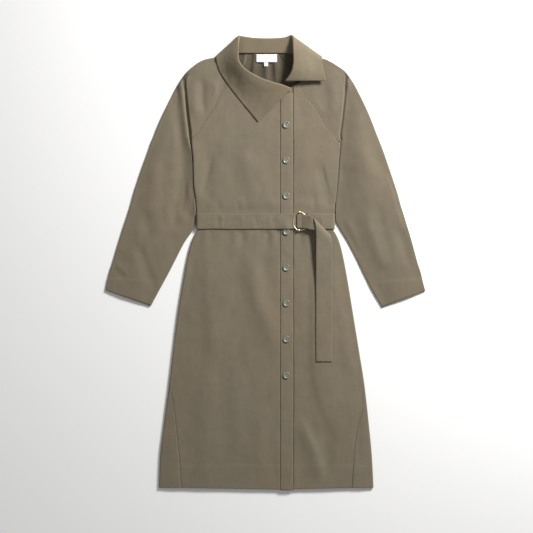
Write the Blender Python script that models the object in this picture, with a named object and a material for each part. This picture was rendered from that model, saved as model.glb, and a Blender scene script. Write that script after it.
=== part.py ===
"""Belted midi shirt dress with raglan sleeves, laid flat on its back with the front up.

Frame: metres, +Z up from the floor, +Y towards the collar, +X towards the wearer's left.
The tables below are in millimetres. Every cloth piece is a thin wall laid through sections:
a section is a line of points across the piece, and the wall stands half its thickness to
each side of it. Pieces that are sewn together share their seam line, 0.4 mm apart.
"""
import math
from collections import namedtuple

import bmesh
import bpy
import numpy as np

MM = 0.001

# Driving sizes, in millimetres
CLOTH = 1.2              # wall of one layer of cloth
DOUBLED = 2.0            # wall of doubled, pressed cloth: placket and belt
COLLAR_WALL = 1.4
SEAM = 0.4               # gap between pieces that meet
HEM_SIDE_Y = -609.0      # hem at the side of the skirt
HEM_MID_Y = -613.6       # hem at the middle front
AIR = 6.6                # middle of the front's wall over the floor, where it lies plain

PLACKET_LEFT_X = 40.0    # stitched edge of the placket band
PLACKET_RIGHT_X = 74.0   # its free edge
PLACKET_TOP_Y = 457.0
UNDERLAP_X = 45.0        # the other front runs on to here, under the placket
UNDERLAP_DROP = 2.1      # and lies this much lower there

BELT_TOP_Y = 132.0
BELT_BOTTOM_Y = 90.0
BELT_BACK_RISE = 2.4     # the back steps over the belt's back run
BELT_TURN_X = 182.0      # where the belt starts to turn round the body's side
BELT_TURN = 4.6

LABEL_LEVEL = 6.2        # on the crests of the back's gathers

BUTTON_DIAMETER = 18.0
BUTTON_THICK = 2.6
BUTTON_X = 56.5
BUTTON_YS = (372, 276, 180, 83, -14, -110, -207, -305)

RING_X, RING_Y = 99.0, 111.0
RING_DIAMETER = 49.0     # outside
RING_WIRE = 3.0
BEAD_DIAMETER = 6.5
BEAD_ANGLES = (110.0, 248.0)

SHOULDER_NOSE = 1.6      # radius of the fold along the outer sleeve
UNDERARM_NOSE = 1.4      # radius of the fold along the inner sleeve
NOSE_SEAM = 0.5          # the side seam's gap is this much wider to each side on the side's fold
LANDING = 8.5            # slope down to the seam on the underside, above the sleeve
GATHER_PITCH = 45.0      # waves of the skirt under the belt

# Body's edges at the side, per station down the length. right and left are the wearer's,
# as distances out from the centre line; low and top are the levels of the two walls at
# the rolled edge. low is high where a sleeve runs underneath.
Body = namedtuple("Body", "y right left low top")
BODY = (
    Body(350, 200, 202, 5.2, 9.2), Body(330, 200, 202, 5.2, 9.2), Body(276, 196, 199, 5.2, 9.0),
    Body(212, 194.5, 194, 5.2, 8.8), Body(168, 188.5, 190, 5.2, 8.4), Body(155, 187.5, 188.5, 5.2, 8.2),
    Body(142, 185.5, 186.0, 3.0, 7.4), Body(135, 184.3, 184.7, 3.0, 6.8), Body(112, 184, 184.4, 3.0, 6.6),
    Body(87, 184.3, 184.7, 3.0, 6.6), Body(76, 190, 191, 0.6, 6.2), Body(55, 199.5, 200, 0.6, 6.0),
    Body(12, 211, 211, 0.6, 6.0), Body(-53, 223, 223, 0.6, 6.0), Body(-139, 237, 237, 0.6, 6.0),
    Body(-226, 248, 251, 0.6, 6.0), Body(-334, 261, 268, 0.6, 6.0), Body(-442, 275, 280, 0.6, 5.8),
    Body(-528, 285, 288, 0.6, 5.6), Body(-620, 288.5, 292.5, 0.6, 5.4),
)

# Place of the side seam, measured along the section from the outermost point of the side's
# rolled edge: positive over the top, negative on the underside.
Side = namedtuple("Side", "y seam")
SIDE_RIGHT = (
    Side(339, 13.0), Side(333, 11.0), Side(325, 6.0), Side(317, 1.0), Side(309, -4.5), Side(301, -10.5),
    Side(286, -26), Side(272, -40), Side(259, -47.5), Side(233, -46.5), Side(205, -37),
    Side(181, -24), Side(158, -11), Side(140, -8), Side(84, -8), Side(-260, -8.0),
    Side(-290, -5.5), Side(-310, -2), Side(-330, 2.5), Side(-350, 8), Side(-377, 17),
    Side(-452, 36), Side(-520, 51), Side(-620, 62),
)
SIDE_LEFT = (
    Side(329, 18.6), Side(323, 14.5), Side(316, 7.5), Side(309, 2.5), Side(302, -2.0), Side(294, -8.5),
    Side(286, -19), Side(272, -35), Side(259, -46), Side(233, -44.5), Side(205, -35),
    Side(181, -24), Side(158, -12), Side(140, -8), Side(84, -8), Side(-260, -8.0),
    Side(-290, -5.5), Side(-310, -2), Side(-330, 2.5), Side(-350, 7), Side(-400, 15),
    Side(-452, 34), Side(-520, 49), Side(-620, 61),
)

# Sleeve sections from the neck to the cuff. out: outer edge; seam: front raglan seam, which
# becomes the inner edge below the underarm; back: back raglan seam (None below the underarm).
# fold: distance from the outer edge to the fold of the armhole; head: 1 where the cloth
# beyond that fold lies up on the body's level; lift: how far the head stands at its fold;
# crown: air in the arm; curl: 1 where the seam end rolls under to close the tube. The first
# NECK_ROWS sections end at the neck instead of the raglan seam.
Sleeve = namedtuple("Sleeve", "out_x out_y seam_x seam_y back_x back_y fold head lift crown curl")
SLEEVE_RIGHT = (
    Sleeve(98, 560, 82, 552, 34, 564, 8, 1, 0.0, 0.0, 0),
    Sleeve(115, 557, 88, 540, 42, 552, 11, 1, 0.0, 0.0, 0),
    Sleeve(132, 554.5, 92, 530, 49, 543, 11, 1, 0.0, 0.0, 0),
    Sleeve(150, 552, 93.5, 520, 56, 534, 11, 1, 0.0, 0.0, 0),
    Sleeve(166, 548, 99, 501, 64, 522, 11, 1, 0.0, 0.0, 0),
    Sleeve(181, 541, 107, 480, 73, 508, 11, 1, 0.0, 0.0, 0),
    Sleeve(197, 529, 117, 460, 83, 491, 11, 1, 0.0, 0.0, 0),
    Sleeve(216, 511, 126, 440, 93, 465, 12, 1, 0.35, 0.2, 0),
    Sleeve(239, 476, 141, 413, 107, 430, 31, 1, 0.8, 0.6, 0),
    Sleeve(261, 433, 157, 388, 120, 393, 56, 1, 1.0, 1.0, 0),
    Sleeve(282, 390, 174, 357, 134, 349, 81, 1, 1.0, 1.5, 0),
    Sleeve(296, 357, 188, 339, 138, 312, 96, 1, 1.0, 1.8, 0),
    Sleeve(302, 341, 189, 331, 140, 298, 101, 0, 0.0, 2.0, 0),
    Sleeve(309, 325, 178, 303, 144, 282, 112, 0, 0.0, 2.2, 0),
    Sleeve(320, 293, 160, 259, 147.6, 259, 127, 0, 0.0, 2.4, 0.35),
    Sleeve(328, 271, 159, 247, None, None, 134, 0, 0.0, 2.5, 0.5),
    Sleeve(336, 249, 159, 233, None, None, 140, 0, 0.0, 2.6, 1),
    Sleeve(347, 216, 167, 207, None, None, 152, 0, 0.0, 2.8, 1),
    Sleeve(357, 185, 177, 181, None, None, 163, 0, 0.0, 2.8, 1),
    Sleeve(366, 151, 187.5, 157, None, None, 167, 0, 0.0, 2.8, 1),
    Sleeve(376, 120, 190.5, 129, None, None, 174, 0, 0.0, 2.8, 1),
    Sleeve(389, 81, 194.5, 95, None, None, 183, 0, 0.0, 2.8, 1),
    Sleeve(401, 42, 219, 54, None, None, 170, 0, 0.0, 2.8, 1),
    Sleeve(413, 1, 241, 12, None, None, 160, 0, 0.0, 2.6, 1),
    Sleeve(422, -26, 262, -29, None, None, 148, 0, 0.0, 2.4, 1),
    Sleeve(428, -52, 286, -73, None, None, 132, 0, 0.0, 2.2, 1),
    Sleeve(432.5, -76, 310.5, -118.5, None, None, 117, 0, 0.0, 2.0, 1),
)
SLEEVE_LEFT = (
    Sleeve(100, 560, 84, 551, 35, 564, 8, 1, 0.0, 0.0, 0),
    Sleeve(122, 555.5, 94, 530, 44, 550, 11, 1, 0.0, 0.0, 0),
    Sleeve(142, 553, 96, 507, 54, 536, 11, 1, 0.0, 0.0, 0),
    Sleeve(160, 550, 93, 487, 66, 522, 11, 1, 0.0, 0.0, 0),
    Sleeve(178, 542, 99, 467, 77, 505, 11, 1, 0.0, 0.0, 0),
    Sleeve(194, 532, 111, 448, 86, 489, 11, 1, 0.0, 0.0, 0),
    Sleeve(205, 525, 124, 432, 91, 475, 12, 1, 0.15, 0.1, 0),
    Sleeve(215, 517, 135, 418, 96, 460, 12, 1, 0.35, 0.2, 0),
    Sleeve(237, 487, 147, 399, 108, 430, 27, 1, 0.8, 0.6, 0),
    Sleeve(260, 444, 159, 377, 122, 393, 53, 1, 1.0, 1.0, 0),
    Sleeve(280, 401, 171, 355, 135, 349, 78, 1, 1.0, 1.5, 0),
    Sleeve(295, 363, 185, 329, 140, 312, 97, 1, 1.0, 1.8, 0),
    Sleeve(301, 347, 190, 321, 143, 298, 103, 0, 0.0, 2.0, 0),
    Sleeve(308, 330, 178, 298, 147, 282, 111, 0, 0.0, 2.2, 0),
    Sleeve(322, 293, 163, 259, 151, 259, 129, 0, 0.0, 2.4, 0.35),
    Sleeve(329.5, 271, 162, 247, None, None, 135, 0, 0.0, 2.5, 0.5),
    Sleeve(337, 249, 162, 233, None, None, 140, 0, 0.0, 2.6, 1),
    Sleeve(348, 216, 169, 207, None, None, 152, 0, 0.0, 2.8, 1),
    Sleeve(358, 185, 178, 181, None, None, 163, 0, 0.0, 2.8, 1),
    Sleeve(367, 151, 188.5, 157, None, None, 167, 0, 0.0, 2.8, 1),
    Sleeve(377, 120, 191.5, 129, None, None, 174, 0, 0.0, 2.8, 1),
    Sleeve(389, 81, 197, 95, None, None, 180, 0, 0.0, 2.8, 1),
    Sleeve(400, 42, 223, 54, None, None, 166, 0, 0.0, 2.8, 1),
    Sleeve(411, 1, 245, 12, None, None, 154, 0, 0.0, 2.6, 1),
    Sleeve(420, -27, 265, -30, None, None, 143, 0, 0.0, 2.4, 1),
    Sleeve(426, -53, 288, -75, None, None, 128, 0, 0.0, 2.2, 1),
    Sleeve(432.5, -77, 315.5, -121.5, None, None, 113, 0, 0.0, 2.0, 1),
)
NECK_ROWS = 3
RAGLAN_ROWS = 12         # sleeve sections whose seam end lies on top
BACK_ROWS = 15           # sleeve sections sewn to the back

# Collar sections from its end on the wearer's right front, round the back of the neck, to
# its end on the other front. base: seam to the neck; roll: the folded top edge; edge: the
# outer edge of the fall. turn is how the fall lies to the stand at the roll, in degrees:
# 0 over it, 90 outside it at the side of the neck, 180 behind it.
Neck = namedtuple("Neck", "base_x base_y base_z roll_x roll_y roll_z turn edge_x edge_y edge_z")
COLLAR = (
    Neck(68, 461, 10.5, 69, 470, 14.5, 0, -20, 379, 9.6),
    Neck(42, 460, 9.8, 46, 479, 15.5, 0, -33, 395, 9.6),
    Neck(18, 462, 9.2, 20, 486, 17.0, 0, -46, 411, 9.8),
    Neck(-9, 465, 8.9, -8, 495, 19.0, 0, -63, 431, 10.0),
    Neck(-36, 474, 8.8, -33, 507, 21.0, 0, -80, 453, 10.2),
    Neck(-59, 487, 8.8, -51, 518, 22.0, 0, -97, 475, 10.4),
    Neck(-79, 504, 8.8, -64, 531, 23.0, 0, -112, 497, 10.6),
    Neck(-91, 525, 8.8, -72, 547, 23.0, 0, -124, 517, 10.8),
    Neck(-89, 545, 8.8, -73, 568, 20.5, 0, -131, 537, 10.8),
    Neck(-84, 556, 8.8, -73, 592, 16.0, 20, -133, 550, 10.0),
    Neck(-76, 563, 8.6, -71, 611, 10.0, 90, -133.5, 558, 5.5),
    Neck(-64, 565.2, 7.2, -61, 614.9, 5.6, 155, -124, 557, 0.7),
    Neck(-34, 565.2, 6.7, -34, 611, 4.2, 180, -72, 546, 0.7),
    Neck(0, 565.2, 6.7, 0, 609, 4.2, 180, 0, 541, 0.7),
    Neck(34, 565.2, 6.7, 34, 611, 4.2, 180, 78, 546, 0.7),
    Neck(64, 565.2, 7.2, 61, 614.9, 5.6, 155, 143, 556, 0.7),
    Neck(76, 563, 8.6, 72, 611, 10.0, 90, 153, 556, 5.5),
    Neck(84, 556, 8.8, 74, 592, 16.0, 20, 153.5, 549, 11.0),
    Neck(89, 545, 8.8, 74.5, 568, 20.5, 0, 153.5, 540, 14.0),
    Neck(93, 527, 8.8, 75, 545, 22.5, 0, 155, 527, 17.0),
    Neck(94, 508, 8.8, 72, 522, 22.5, 0, 158, 514, 19.0),
    Neck(88, 493, 9.0, 63, 502, 21.0, 0, 161, 502, 20.0),
    Neck(71, 487, 9.4, 52, 488, 19.0, 0, 163, 490, 20.0),
)

# Largest folds: a soft ridge (height above 0) or trough from a start to an end.
Fold = namedtuple("Fold", "x0 y0 x1 y1 half_width height")
FRONT_FOLDS = (
    Fold(-181, 150, -142, 233, 7, -0.9),
    Fold(-58, 266, -8, 136, 14, -1.2),
    Fold(-128, 179, -126, 138, 9, -0.8),
    Fold(126, 263, 184, 150, 12, 1.5),
    Fold(-128, 60, -117, -102, 16, 1.6),
    Fold(-77, 31, -45, -180, 14, -1.5),
    Fold(-32, 25, -8, -99, 10, 1.1),
    Fold(-171, -318, -171, -588, 20, -1.6),
    Fold(-101, -237, -69, -561, 24, 1.6),
    Fold(-4, -102, 31, -231, 9, -1.0),
    Fold(85, -466, 134, -555, 9, -1.1),
    Fold(210, -150, 232, -420, 22, 1.4),
    Fold(150, -290, 160, -540, 22, -1.3),
    Fold(105, 60, 112, -90, 14, 1.0),
)
SLEEVE_FOLDS = (
    Fold(-344, 47, -293, -69, 11, -1.2),
    Fold(-372, 20, -398, -60, 10, 0.9),
    Fold(-300, 250, -322, 90, 16, 0.9),
    Fold(345, 230, 395, 20, 13, 1.1),
    Fold(300, 150, 352, -40, 12, -1.0),
)


def ease(t):
    """Smooth step from 0 to 1."""
    t = min(max(t, 0.0), 1.0)
    return t * t * (3.0 - 2.0 * t)


def mix(a, b, t):
    return a + (b - a) * t


def curve_through(rows, key, field):
    """Smooth function through one column of a table, over another column."""
    ordered = sorted(rows, key=lambda row: getattr(row, key))
    xs = np.array([getattr(row, key) for row in ordered], float)
    ys = np.array([getattr(row, field) for row in ordered], float)
    steps = np.diff(ys) / np.diff(xs)
    slopes = np.zeros(len(xs))
    slopes[0], slopes[-1] = steps[0], steps[-1]
    for i in range(1, len(xs) - 1):
        if steps[i - 1] * steps[i] > 0:
            slopes[i] = 2.0 * steps[i - 1] * steps[i] / (steps[i - 1] + steps[i])

    def value(x):
        i = int(np.clip(np.searchsorted(xs, x) - 1, 0, len(xs) - 2))
        h = xs[i + 1] - xs[i]
        t = (x - xs[i]) / h
        a = ys[i] * (1 + 2 * t) * (1 - t) ** 2 + slopes[i] * h * t * (1 - t) ** 2
        b = ys[i + 1] * t * t * (3 - 2 * t) + slopes[i + 1] * h * t * t * (t - 1)
        return float(a + b)
    return value


RIGHT, LEFT = -1, 1      # the wearer's sides, as signs of X
edge_out = {RIGHT: curve_through(BODY, "y", "right"), LEFT: curve_through(BODY, "y", "left")}
edge_low = curve_through(BODY, "y", "low")
edge_top = curve_through(BODY, "y", "top")
side_seam = {RIGHT: curve_through(SIDE_RIGHT, "y", "seam"), LEFT: curve_through(SIDE_LEFT, "y", "seam")}
sleeve_rows = {RIGHT: SLEEVE_RIGHT, LEFT: SLEEVE_LEFT}


def fold_height(folds, x, y):
    total = 0.0
    for fold in folds:
        dx, dy = fold.x1 - fold.x0, fold.y1 - fold.y0
        length = math.hypot(dx, dy)
        along = ((x - fold.x0) * dx + (y - fold.y0) * dy) / length
        across = ((x - fold.x0) * dy - (y - fold.y0) * dx) / length
        taper = ease((along + 15) / 40) * ease((length + 15 - along) / 40)
        total += fold.height * taper * math.exp(-(across / fold.half_width) ** 2)
    return total


def neck_rise(y):
    """The back and the sleeves' undersides step over the fall of the collar."""
    return 1.9 * ease((y - 505) / 28)


def belt_band(y, soft):
    """1 over the belt's width and just past it, easing off over a soft length on each side."""
    past = 3.0
    above = ease((BELT_TOP_Y + past + soft - y) / soft)
    return above * ease((y - BELT_BOTTOM_Y + past + soft) / soft)


def back_z(x, y):
    """Level of the back's wall: on the floor, over the belt's back run and the collar."""
    gathers = 0.0
    if y > 470:
        gathers = 1.1 * ease((y - 470) / 60) * (1 + math.cos(2 * math.pi * (x - 8) / 27))
    return CLOTH / 2 + neck_rise(y) + BELT_BACK_RISE * belt_band(y, 7.0) + gathers * ease((60 - abs(x)) / 25)


def front_z(x, y):
    """Level of the front's upper wall."""
    side = LEFT if x > 0 else RIGHT
    inward = edge_out[side](min(max(y, -620), 350)) - abs(x)
    level = AIR + fold_height(FRONT_FOLDS, x, y)
    level += 1.6 * ease((y - 165) / 40) * ease((470 - y) / 60) * math.exp(-(inward / 60) ** 2)
    level += 1.8 * math.exp(-((y - BELT_TOP_Y - 26) / 16) ** 2) * ease(inward / 50)
    below = BELT_BOTTOM_Y - y
    if below > 0:
        wave = math.cos(2 * math.pi * (x + 12) / GATHER_PITCH)
        level += 1.1 * wave * math.exp(-below / 30) * ease(below / 10)
    level = mix(level, AIR + 0.6, belt_band(y, 9.0))
    if y < 345:
        level = mix(edge_top(y), level, ease((inward - 2) / 38))
    return level


def underlap_z(x, y):
    """Level of the wearer's left front, lower where the placket covers it."""
    return front_z(x, y) - UNDERLAP_DROP * (1 - ease((x - PLACKET_RIGHT_X - 3) / 16))


def side_point(side, y, along, top_level=front_z):
    """Point of the body's section at the side, at a distance along it from its outermost point."""
    low = max(edge_low(y), back_z(200, y))
    top = edge_top(y)
    nose = (top - low) / 2
    quarter = math.pi * nose / 2
    out = edge_out[side](y) - CLOTH / 2
    if abs(along) <= quarter:
        inward = nose * (1 - math.cos(along / nose))
        z = (top + low) / 2 + nose * math.sin(along / nose)
    elif along > 0:
        inward = nose + along - quarter
        z = top_level(side * (out - inward), y)
    else:
        inward = nose - along - quarter
        landing = -side_seam[side](y) - LANDING * ease((272 - y) / 30)
        floor = back_z(side * (out - inward), y)
        z = mix(max(low, floor), floor, ease((-along - landing) / (LANDING - 3.0)))
    return np.array([side * (out - inward), y, z])


def seam_line(rows, side, x_field, y_field, offset):
    """Points of a seam line, moved across it by an offset, inward where it is above 0."""
    points = np.array([(side * getattr(row, x_field), getattr(row, y_field)) for row in rows], float)
    along = np.gradient(points, axis=0)
    along /= np.linalg.norm(along, axis=1)[:, None]
    inward = side * np.stack([along[:, 1], -along[:, 0]], axis=1)
    return points + inward * offset


def side_places(side, y, onto):
    """Places of a section's columns round the side, from the seam; onto is 1 for the front's
    way over the top and -1 for the back's way underneath."""
    quarter = math.pi * (edge_top(y) - max(edge_low(y), back_z(200, y))) / 4
    seam = side_seam[side](y) * onto + SEAM / 2
    seam += NOSE_SEAM * ease(1.6 - abs(side_seam[side](y)) / 6)
    second = min(seam + LANDING + 0.5, -quarter - 0.7) if onto > 0 else (seam - quarter) / 2
    wanted = (second, -quarter, -quarter / 2, 0.0, quarter / 2, quarter, quarter + 5, quarter + 14)
    places = [seam - GUIDE, seam]
    for place in wanted:
        places.append(max(place, places[-1] + 0.7))
    return [onto * place for place in places]


def make_material(name, colour, roughness, metallic=0.0):
    material = bpy.data.materials.new(name)
    material.use_nodes = True
    shader = material.node_tree.nodes["Principled BSDF"]
    shader.inputs["Base Color"].default_value = (*colour, 1.0)
    shader.inputs["Roughness"].default_value = roughness
    shader.inputs["Metallic"].default_value = metallic
    return material


def add_object(name, mesh, material, smooth=True):
    mesh.materials.append(material)
    if smooth:
        mesh.shade_smooth()
        mesh.set_sharp_from_angle(angle=math.radians(50))
    piece = bpy.data.objects.new(name, mesh)
    bpy.context.scene.collection.objects.link(piece)
    return piece


def tangents(points):
    """Directions down the columns of a grid, leaning to the nearer neighbour."""
    steps = np.diff(points, axis=0)
    lengths = np.linalg.norm(steps, axis=2, keepdims=True)
    units = steps / lengths
    inner = units[:-1] * lengths[1:] + units[1:] * lengths[:-1]
    inner /= np.linalg.norm(inner, axis=2, keepdims=True)
    return np.concatenate([units[:1], inner, units[-1:]])


def sheet(name, sections, wall, material, guides=(0, 0)):
    """Closed wall through sections of equal length; the sections are its middle surface.
    Guide columns at a section's start or end only steer the wall's direction there."""
    points = np.array(sections, float)
    across = tangents(points.transpose(1, 0, 2)).transpose(1, 0, 2)
    first, last = guides[0], points.shape[1] - guides[1]
    points, across = points[:, first:last], across[:, first:last]
    rows, columns = points.shape[:2]
    down = tangents(points)
    normals = np.cross(down, across)
    normals /= np.linalg.norm(normals, axis=2)[:, :, None]
    faces = (points + normals * wall / 2, points - normals * wall / 2)
    bm = bmesh.new()
    grids = []
    for face in faces:
        grids.append([[bm.verts.new(point * MM) for point in row] for row in face])
    upper, lower = grids
    for i in range(rows - 1):
        for j in range(columns - 1):
            bm.faces.new((upper[i][j], upper[i + 1][j], upper[i + 1][j + 1], upper[i][j + 1]))
            bm.faces.new((lower[i][j], lower[i][j + 1], lower[i + 1][j + 1], lower[i + 1][j]))
    rim = [(0, j) for j in range(columns)] + [(i, columns - 1) for i in range(1, rows)]
    rim += [(rows - 1, j) for j in range(columns - 2, -1, -1)] + [(i, 0) for i in range(rows - 2, 0, -1)]
    for (i, j), (k, m) in zip(rim, rim[1:] + rim[:1]):
        bm.faces.new((upper[i][j], upper[k][m], lower[k][m], lower[i][j]))
    bmesh.ops.recalc_face_normals(bm, faces=bm.faces)
    mesh = bpy.data.meshes.new(name)
    bm.to_mesh(mesh)
    bm.free()
    return add_object(name, mesh, material)


# ---------------------------------------------------------------- fronts

EDGE_COLUMNS = 9         # dense columns at the side
EDGE_ZONE = 14.0         # how far they reach over a panel whose seam lies on top
GUIDE = 0.5
TOP_COLUMNS = 9
UNDERARM_STATIONS = (286, 272, 259)
STATIONS = (246, 230, 202, 175, 155, 142, 135, 112, 87, 77, 56, 22, -25, -90, -170, -260,
            -290, -310, -330, -350, -385, -450, -525)
ARMHOLE_STATIONS = {RIGHT: (333, 325, 319, 314, 308, 301), LEFT: (323, 316, 310, 305, 300, 294)}


def front_sections(side, inner_x, neck_y, neck_sag, level, stops=()):
    """Sections of one front, from its raglan or side seam to its edge at the placket."""
    rows = []
    raglan = sleeve_rows[side][NECK_ROWS:RAGLAN_ROWS]
    for k, seam in enumerate(seam_line(raglan, side, "seam_x", "seam_y", SEAM / 2)):
        share = k / (len(raglan) - 1)
        inner = np.array([inner_x, mix(neck_y, raglan[-1].seam_y + 3, share)])
        rows.append((None, seam, inner, neck_sag * (1 - share) ** 2))
    for y in ARMHOLE_STATIONS[side] + UNDERARM_STATIONS + STATIONS:
        rows.append((y, None, np.array([inner_x, y]), 0.0))
    rows.append((HEM_SIDE_Y, None, np.array([inner_x, HEM_MID_Y]), 0.0))
    sections = []
    for y, seam, inner, sag in rows:
        section = []
        if seam is not None:
            towards = (inner - seam) / np.linalg.norm(inner - seam)
            for place in [-GUIDE] + list(np.linspace(0, EDGE_ZONE, EDGE_COLUMNS)[:-1]):
                x, py = seam + towards * place
                section.append(np.array([x, py, level(x, py)]))
            start = seam + towards * EDGE_ZONE
        else:
            places = side_places(side, y, 1)
            section += [side_point(side, y, place, level) for place in places[:-1]]
            start = side_point(side, y, places[-1], level)[:2]
        shares = [j / (TOP_COLUMNS - 1) for j in range(TOP_COLUMNS)]
        if stops:
            plain_end = (stops[0] - start[0]) / (inner[0] - start[0])
            plain = TOP_COLUMNS - len(stops)
            placed = [plain_end * j / plain for j in range(plain)]
            placed += [(x - start[0]) / (inner[0] - start[0]) for x in stops]
            room = ease((start[0] - stops[0] - 10) / 20)
            shares = [mix(even, stop, room) for even, stop in zip(shares, placed)]
        for share in shares:
            x, py = start + (inner - start) * share
            py += sag * math.sin(math.pi * share)
            section.append(np.array([x, py, level(x, py)]))
        sections.append(section)
    return sections


# ---------------------------------------------------------------- back

BACK_MIDDLE_COLUMNS = 5


def back_sections():
    sections = []
    seams = [seam_line(sleeve_rows[side][:BACK_ROWS], side, "back_x", "back_y", SEAM / 2)
             for side in (RIGHT, LEFT)]
    for right, left in zip(*seams):
        zone = min(EDGE_ZONE, 0.2 * (left[0] - right[0]))
        steps = [-GUIDE] + list(np.linspace(0, zone, EDGE_COLUMNS)[:-1])
        xs = [right[0] + step for step in steps]
        xs += list(np.linspace(right[0] + zone, left[0] - zone, BACK_MIDDLE_COLUMNS))
        xs += [left[0] - step for step in steps[::-1]]
        section = []
        for x in xs:
            y = mix(right[1], left[1], (x - right[0]) / (left[0] - right[0]))
            section.append(np.array([x, y, back_z(x, y)]))
        sections.append(section)
    for y in STATIONS + (HEM_SIDE_Y,):
        zones = {}
        for side in (RIGHT, LEFT):
            zones[side] = [side_point(side, y, place) for place in side_places(side, y, -1)]
        section = zones[RIGHT][:-1]
        for x in np.linspace(zones[RIGHT][-1][0], zones[LEFT][-1][0], BACK_MIDDLE_COLUMNS):
            section.append(np.array([x, y, back_z(x, y)]))
        section += zones[LEFT][-2::-1]
        sections.append(section)
    return sections


# ---------------------------------------------------------------- sleeves

CURL_COLUMNS = 3
HEAD_COLUMNS = 4
ARM_COLUMNS = 6
NOSE_COLUMNS = 4
UNDER_COLUMNS = 3


def outline_normals(rows, side, x_field, y_field, inward_sign):
    """Unit vectors across an edge of the sleeve, into the sleeve."""
    points = np.array([(side * getattr(row, x_field), getattr(row, y_field)) for row in rows], float)
    along = np.gradient(points, axis=0)
    along /= np.linalg.norm(along, axis=1)[:, None]
    return inward_sign * side * np.stack([along[:, 1], -along[:, 0]], axis=1)


def sleeve_sections(side):
    """Sections of a flattened sleeve: seam end, over the top, round the outer edge, back under."""
    rows = sleeve_rows[side]
    front_seam = seam_line(rows[:RAGLAN_ROWS], side, "seam_x", "seam_y", -SEAM / 2)
    back_seam = seam_line(rows[:BACK_ROWS], side, "back_x", "back_y", -SEAM / 2)
    outer_inward = outline_normals(rows, side, "out_x", "out_y", 1)
    inner_inward = outline_normals(rows, side, "seam_x", "seam_y", -1)
    curl_length = math.pi * UNDERARM_NOSE
    inner_top = CLOTH / 2 + 2 * UNDERARM_NOSE
    sections = []
    for k, row in enumerate(rows):
        seam = front_seam[k] if k < RAGLAN_ROWS else np.array([side * row.seam_x, row.seam_y])
        edge = np.array([side * row.out_x, row.out_y]) + outer_inward[k] * CLOTH / 2
        start = edge + outer_inward[k] * SHOULDER_NOSE
        turn = seam + inner_inward[k] * (CLOTH / 2 + UNDERARM_NOSE)
        flat_end = seam + (start - seam) / np.linalg.norm(start - seam) * curl_length
        end = mix(flat_end, turn, row.curl)
        width = np.linalg.norm(end - start)
        floor_out = CLOTH / 2 + neck_rise(row.out_y)
        outer_top = floor_out + 2 * SHOULDER_NOSE

        def top_z(s, x, y):
            drop = row.lift if row.head else 1.0
            arm = mix(outer_top, inner_top, ease(s / row.fold) * drop)
            if s < row.fold:
                arm += row.crown * math.sin(math.pi * s / row.fold) ** 2
            arm += fold_height(SLEEVE_FOLDS, x, y) * ease(s / 15) * ease((width - s) / 15)
            head = mix(outer_top, front_z(x, y), max(row.lift, ease(s / 38)))
            return mix(arm, head, row.head * ease((s - row.fold + 1.0) / 2.4))

        section = []
        for j in range(CURL_COLUMNS):
            share = 1 - j / CURL_COLUMNS
            flat = mix(flat_end, seam, share)
            flat_z = top_z(width + curl_length * share, *flat)
            angle = math.pi * share
            curled = turn - inner_inward[k] * UNDERARM_NOSE * math.sin(angle)
            curled_z = CLOTH / 2 + UNDERARM_NOSE * (1 + math.cos(angle))
            section.append(np.array([*mix(flat, curled, row.curl), mix(flat_z, curled_z, row.curl)]))
        stops = list(np.linspace(width, row.fold + 1.6, HEAD_COLUMNS))
        stops += list(np.linspace(row.fold - 1.2, 0.0, ARM_COLUMNS))
        for s in stops:
            x, y = mix(start, end, s / width)
            section.append(np.array([x, y, top_z(s, x, y)]))
        for j in range(1, NOSE_COLUMNS + 1):
            angle = math.pi * j / NOSE_COLUMNS
            xy = start - outer_inward[k] * SHOULDER_NOSE * math.sin(angle)
            section.append(np.array([*xy, floor_out + SHOULDER_NOSE * (1 + math.cos(angle))]))
        under_end = back_seam[k] if k < BACK_ROWS else turn + inner_inward[k] * (3 - 2 * row.curl) * 2 * SEAM
        for j in range(1, UNDER_COLUMNS + 1):
            xy = mix(start, under_end, j / UNDER_COLUMNS)
            section.append(np.array([*xy, back_z(*xy) if k < BACK_ROWS else CLOTH / 2]))
        sections.append(section)
    return sections


# ---------------------------------------------------------------- collar

STAND_COLUMNS = 4
ROLL_COLUMNS = 4
FALL_COLUMNS = 5
ROLL_RADIUS = 3.2


def collar_sections():
    """Sections of the collar: up the stand, round the roll, down the fall."""
    sections = []
    for row in COLLAR:
        base = np.array([row.base_x, row.base_y, row.base_z])
        edge = np.array([row.edge_x, row.edge_y, row.edge_z])
        away = np.array([row.roll_x - row.base_x, row.roll_y - row.base_y, 0.0])
        away /= np.linalg.norm(away)
        centre = np.array([row.roll_x, row.roll_y, row.roll_z]) - away * ROLL_RADIUS
        turn = math.radians(row.turn)
        outward = 1.0 if row.base_x > 0 else -1.0
        over = np.array([outward * math.sin(turn), 0.0, math.cos(turn)])
        stand_top = centre - over * ROLL_RADIUS
        section = [mix(base, stand_top, j / STAND_COLUMNS) for j in range(STAND_COLUMNS)]
        for j in range(ROLL_COLUMNS + 1):
            angle = math.pi * (j / ROLL_COLUMNS - 0.5)
            section.append(centre + ROLL_RADIUS * (away * math.cos(angle) + over * math.sin(angle)))
        fall_top = centre + over * ROLL_RADIUS
        for j in range(1, FALL_COLUMNS + 1):
            t = j / FALL_COLUMNS
            point = mix(fall_top, edge, t)
            point[2] = mix(edge[2], fall_top[2], (1 - t) ** 1.4)
            section.append(point)
        sections.append(section)
    return sections


# ---------------------------------------------------------------- placket, belt and buckle

def placket_z(x, y):
    return front_z(x, y) + (DOUBLED - CLOTH) / 2 + 0.1


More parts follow.
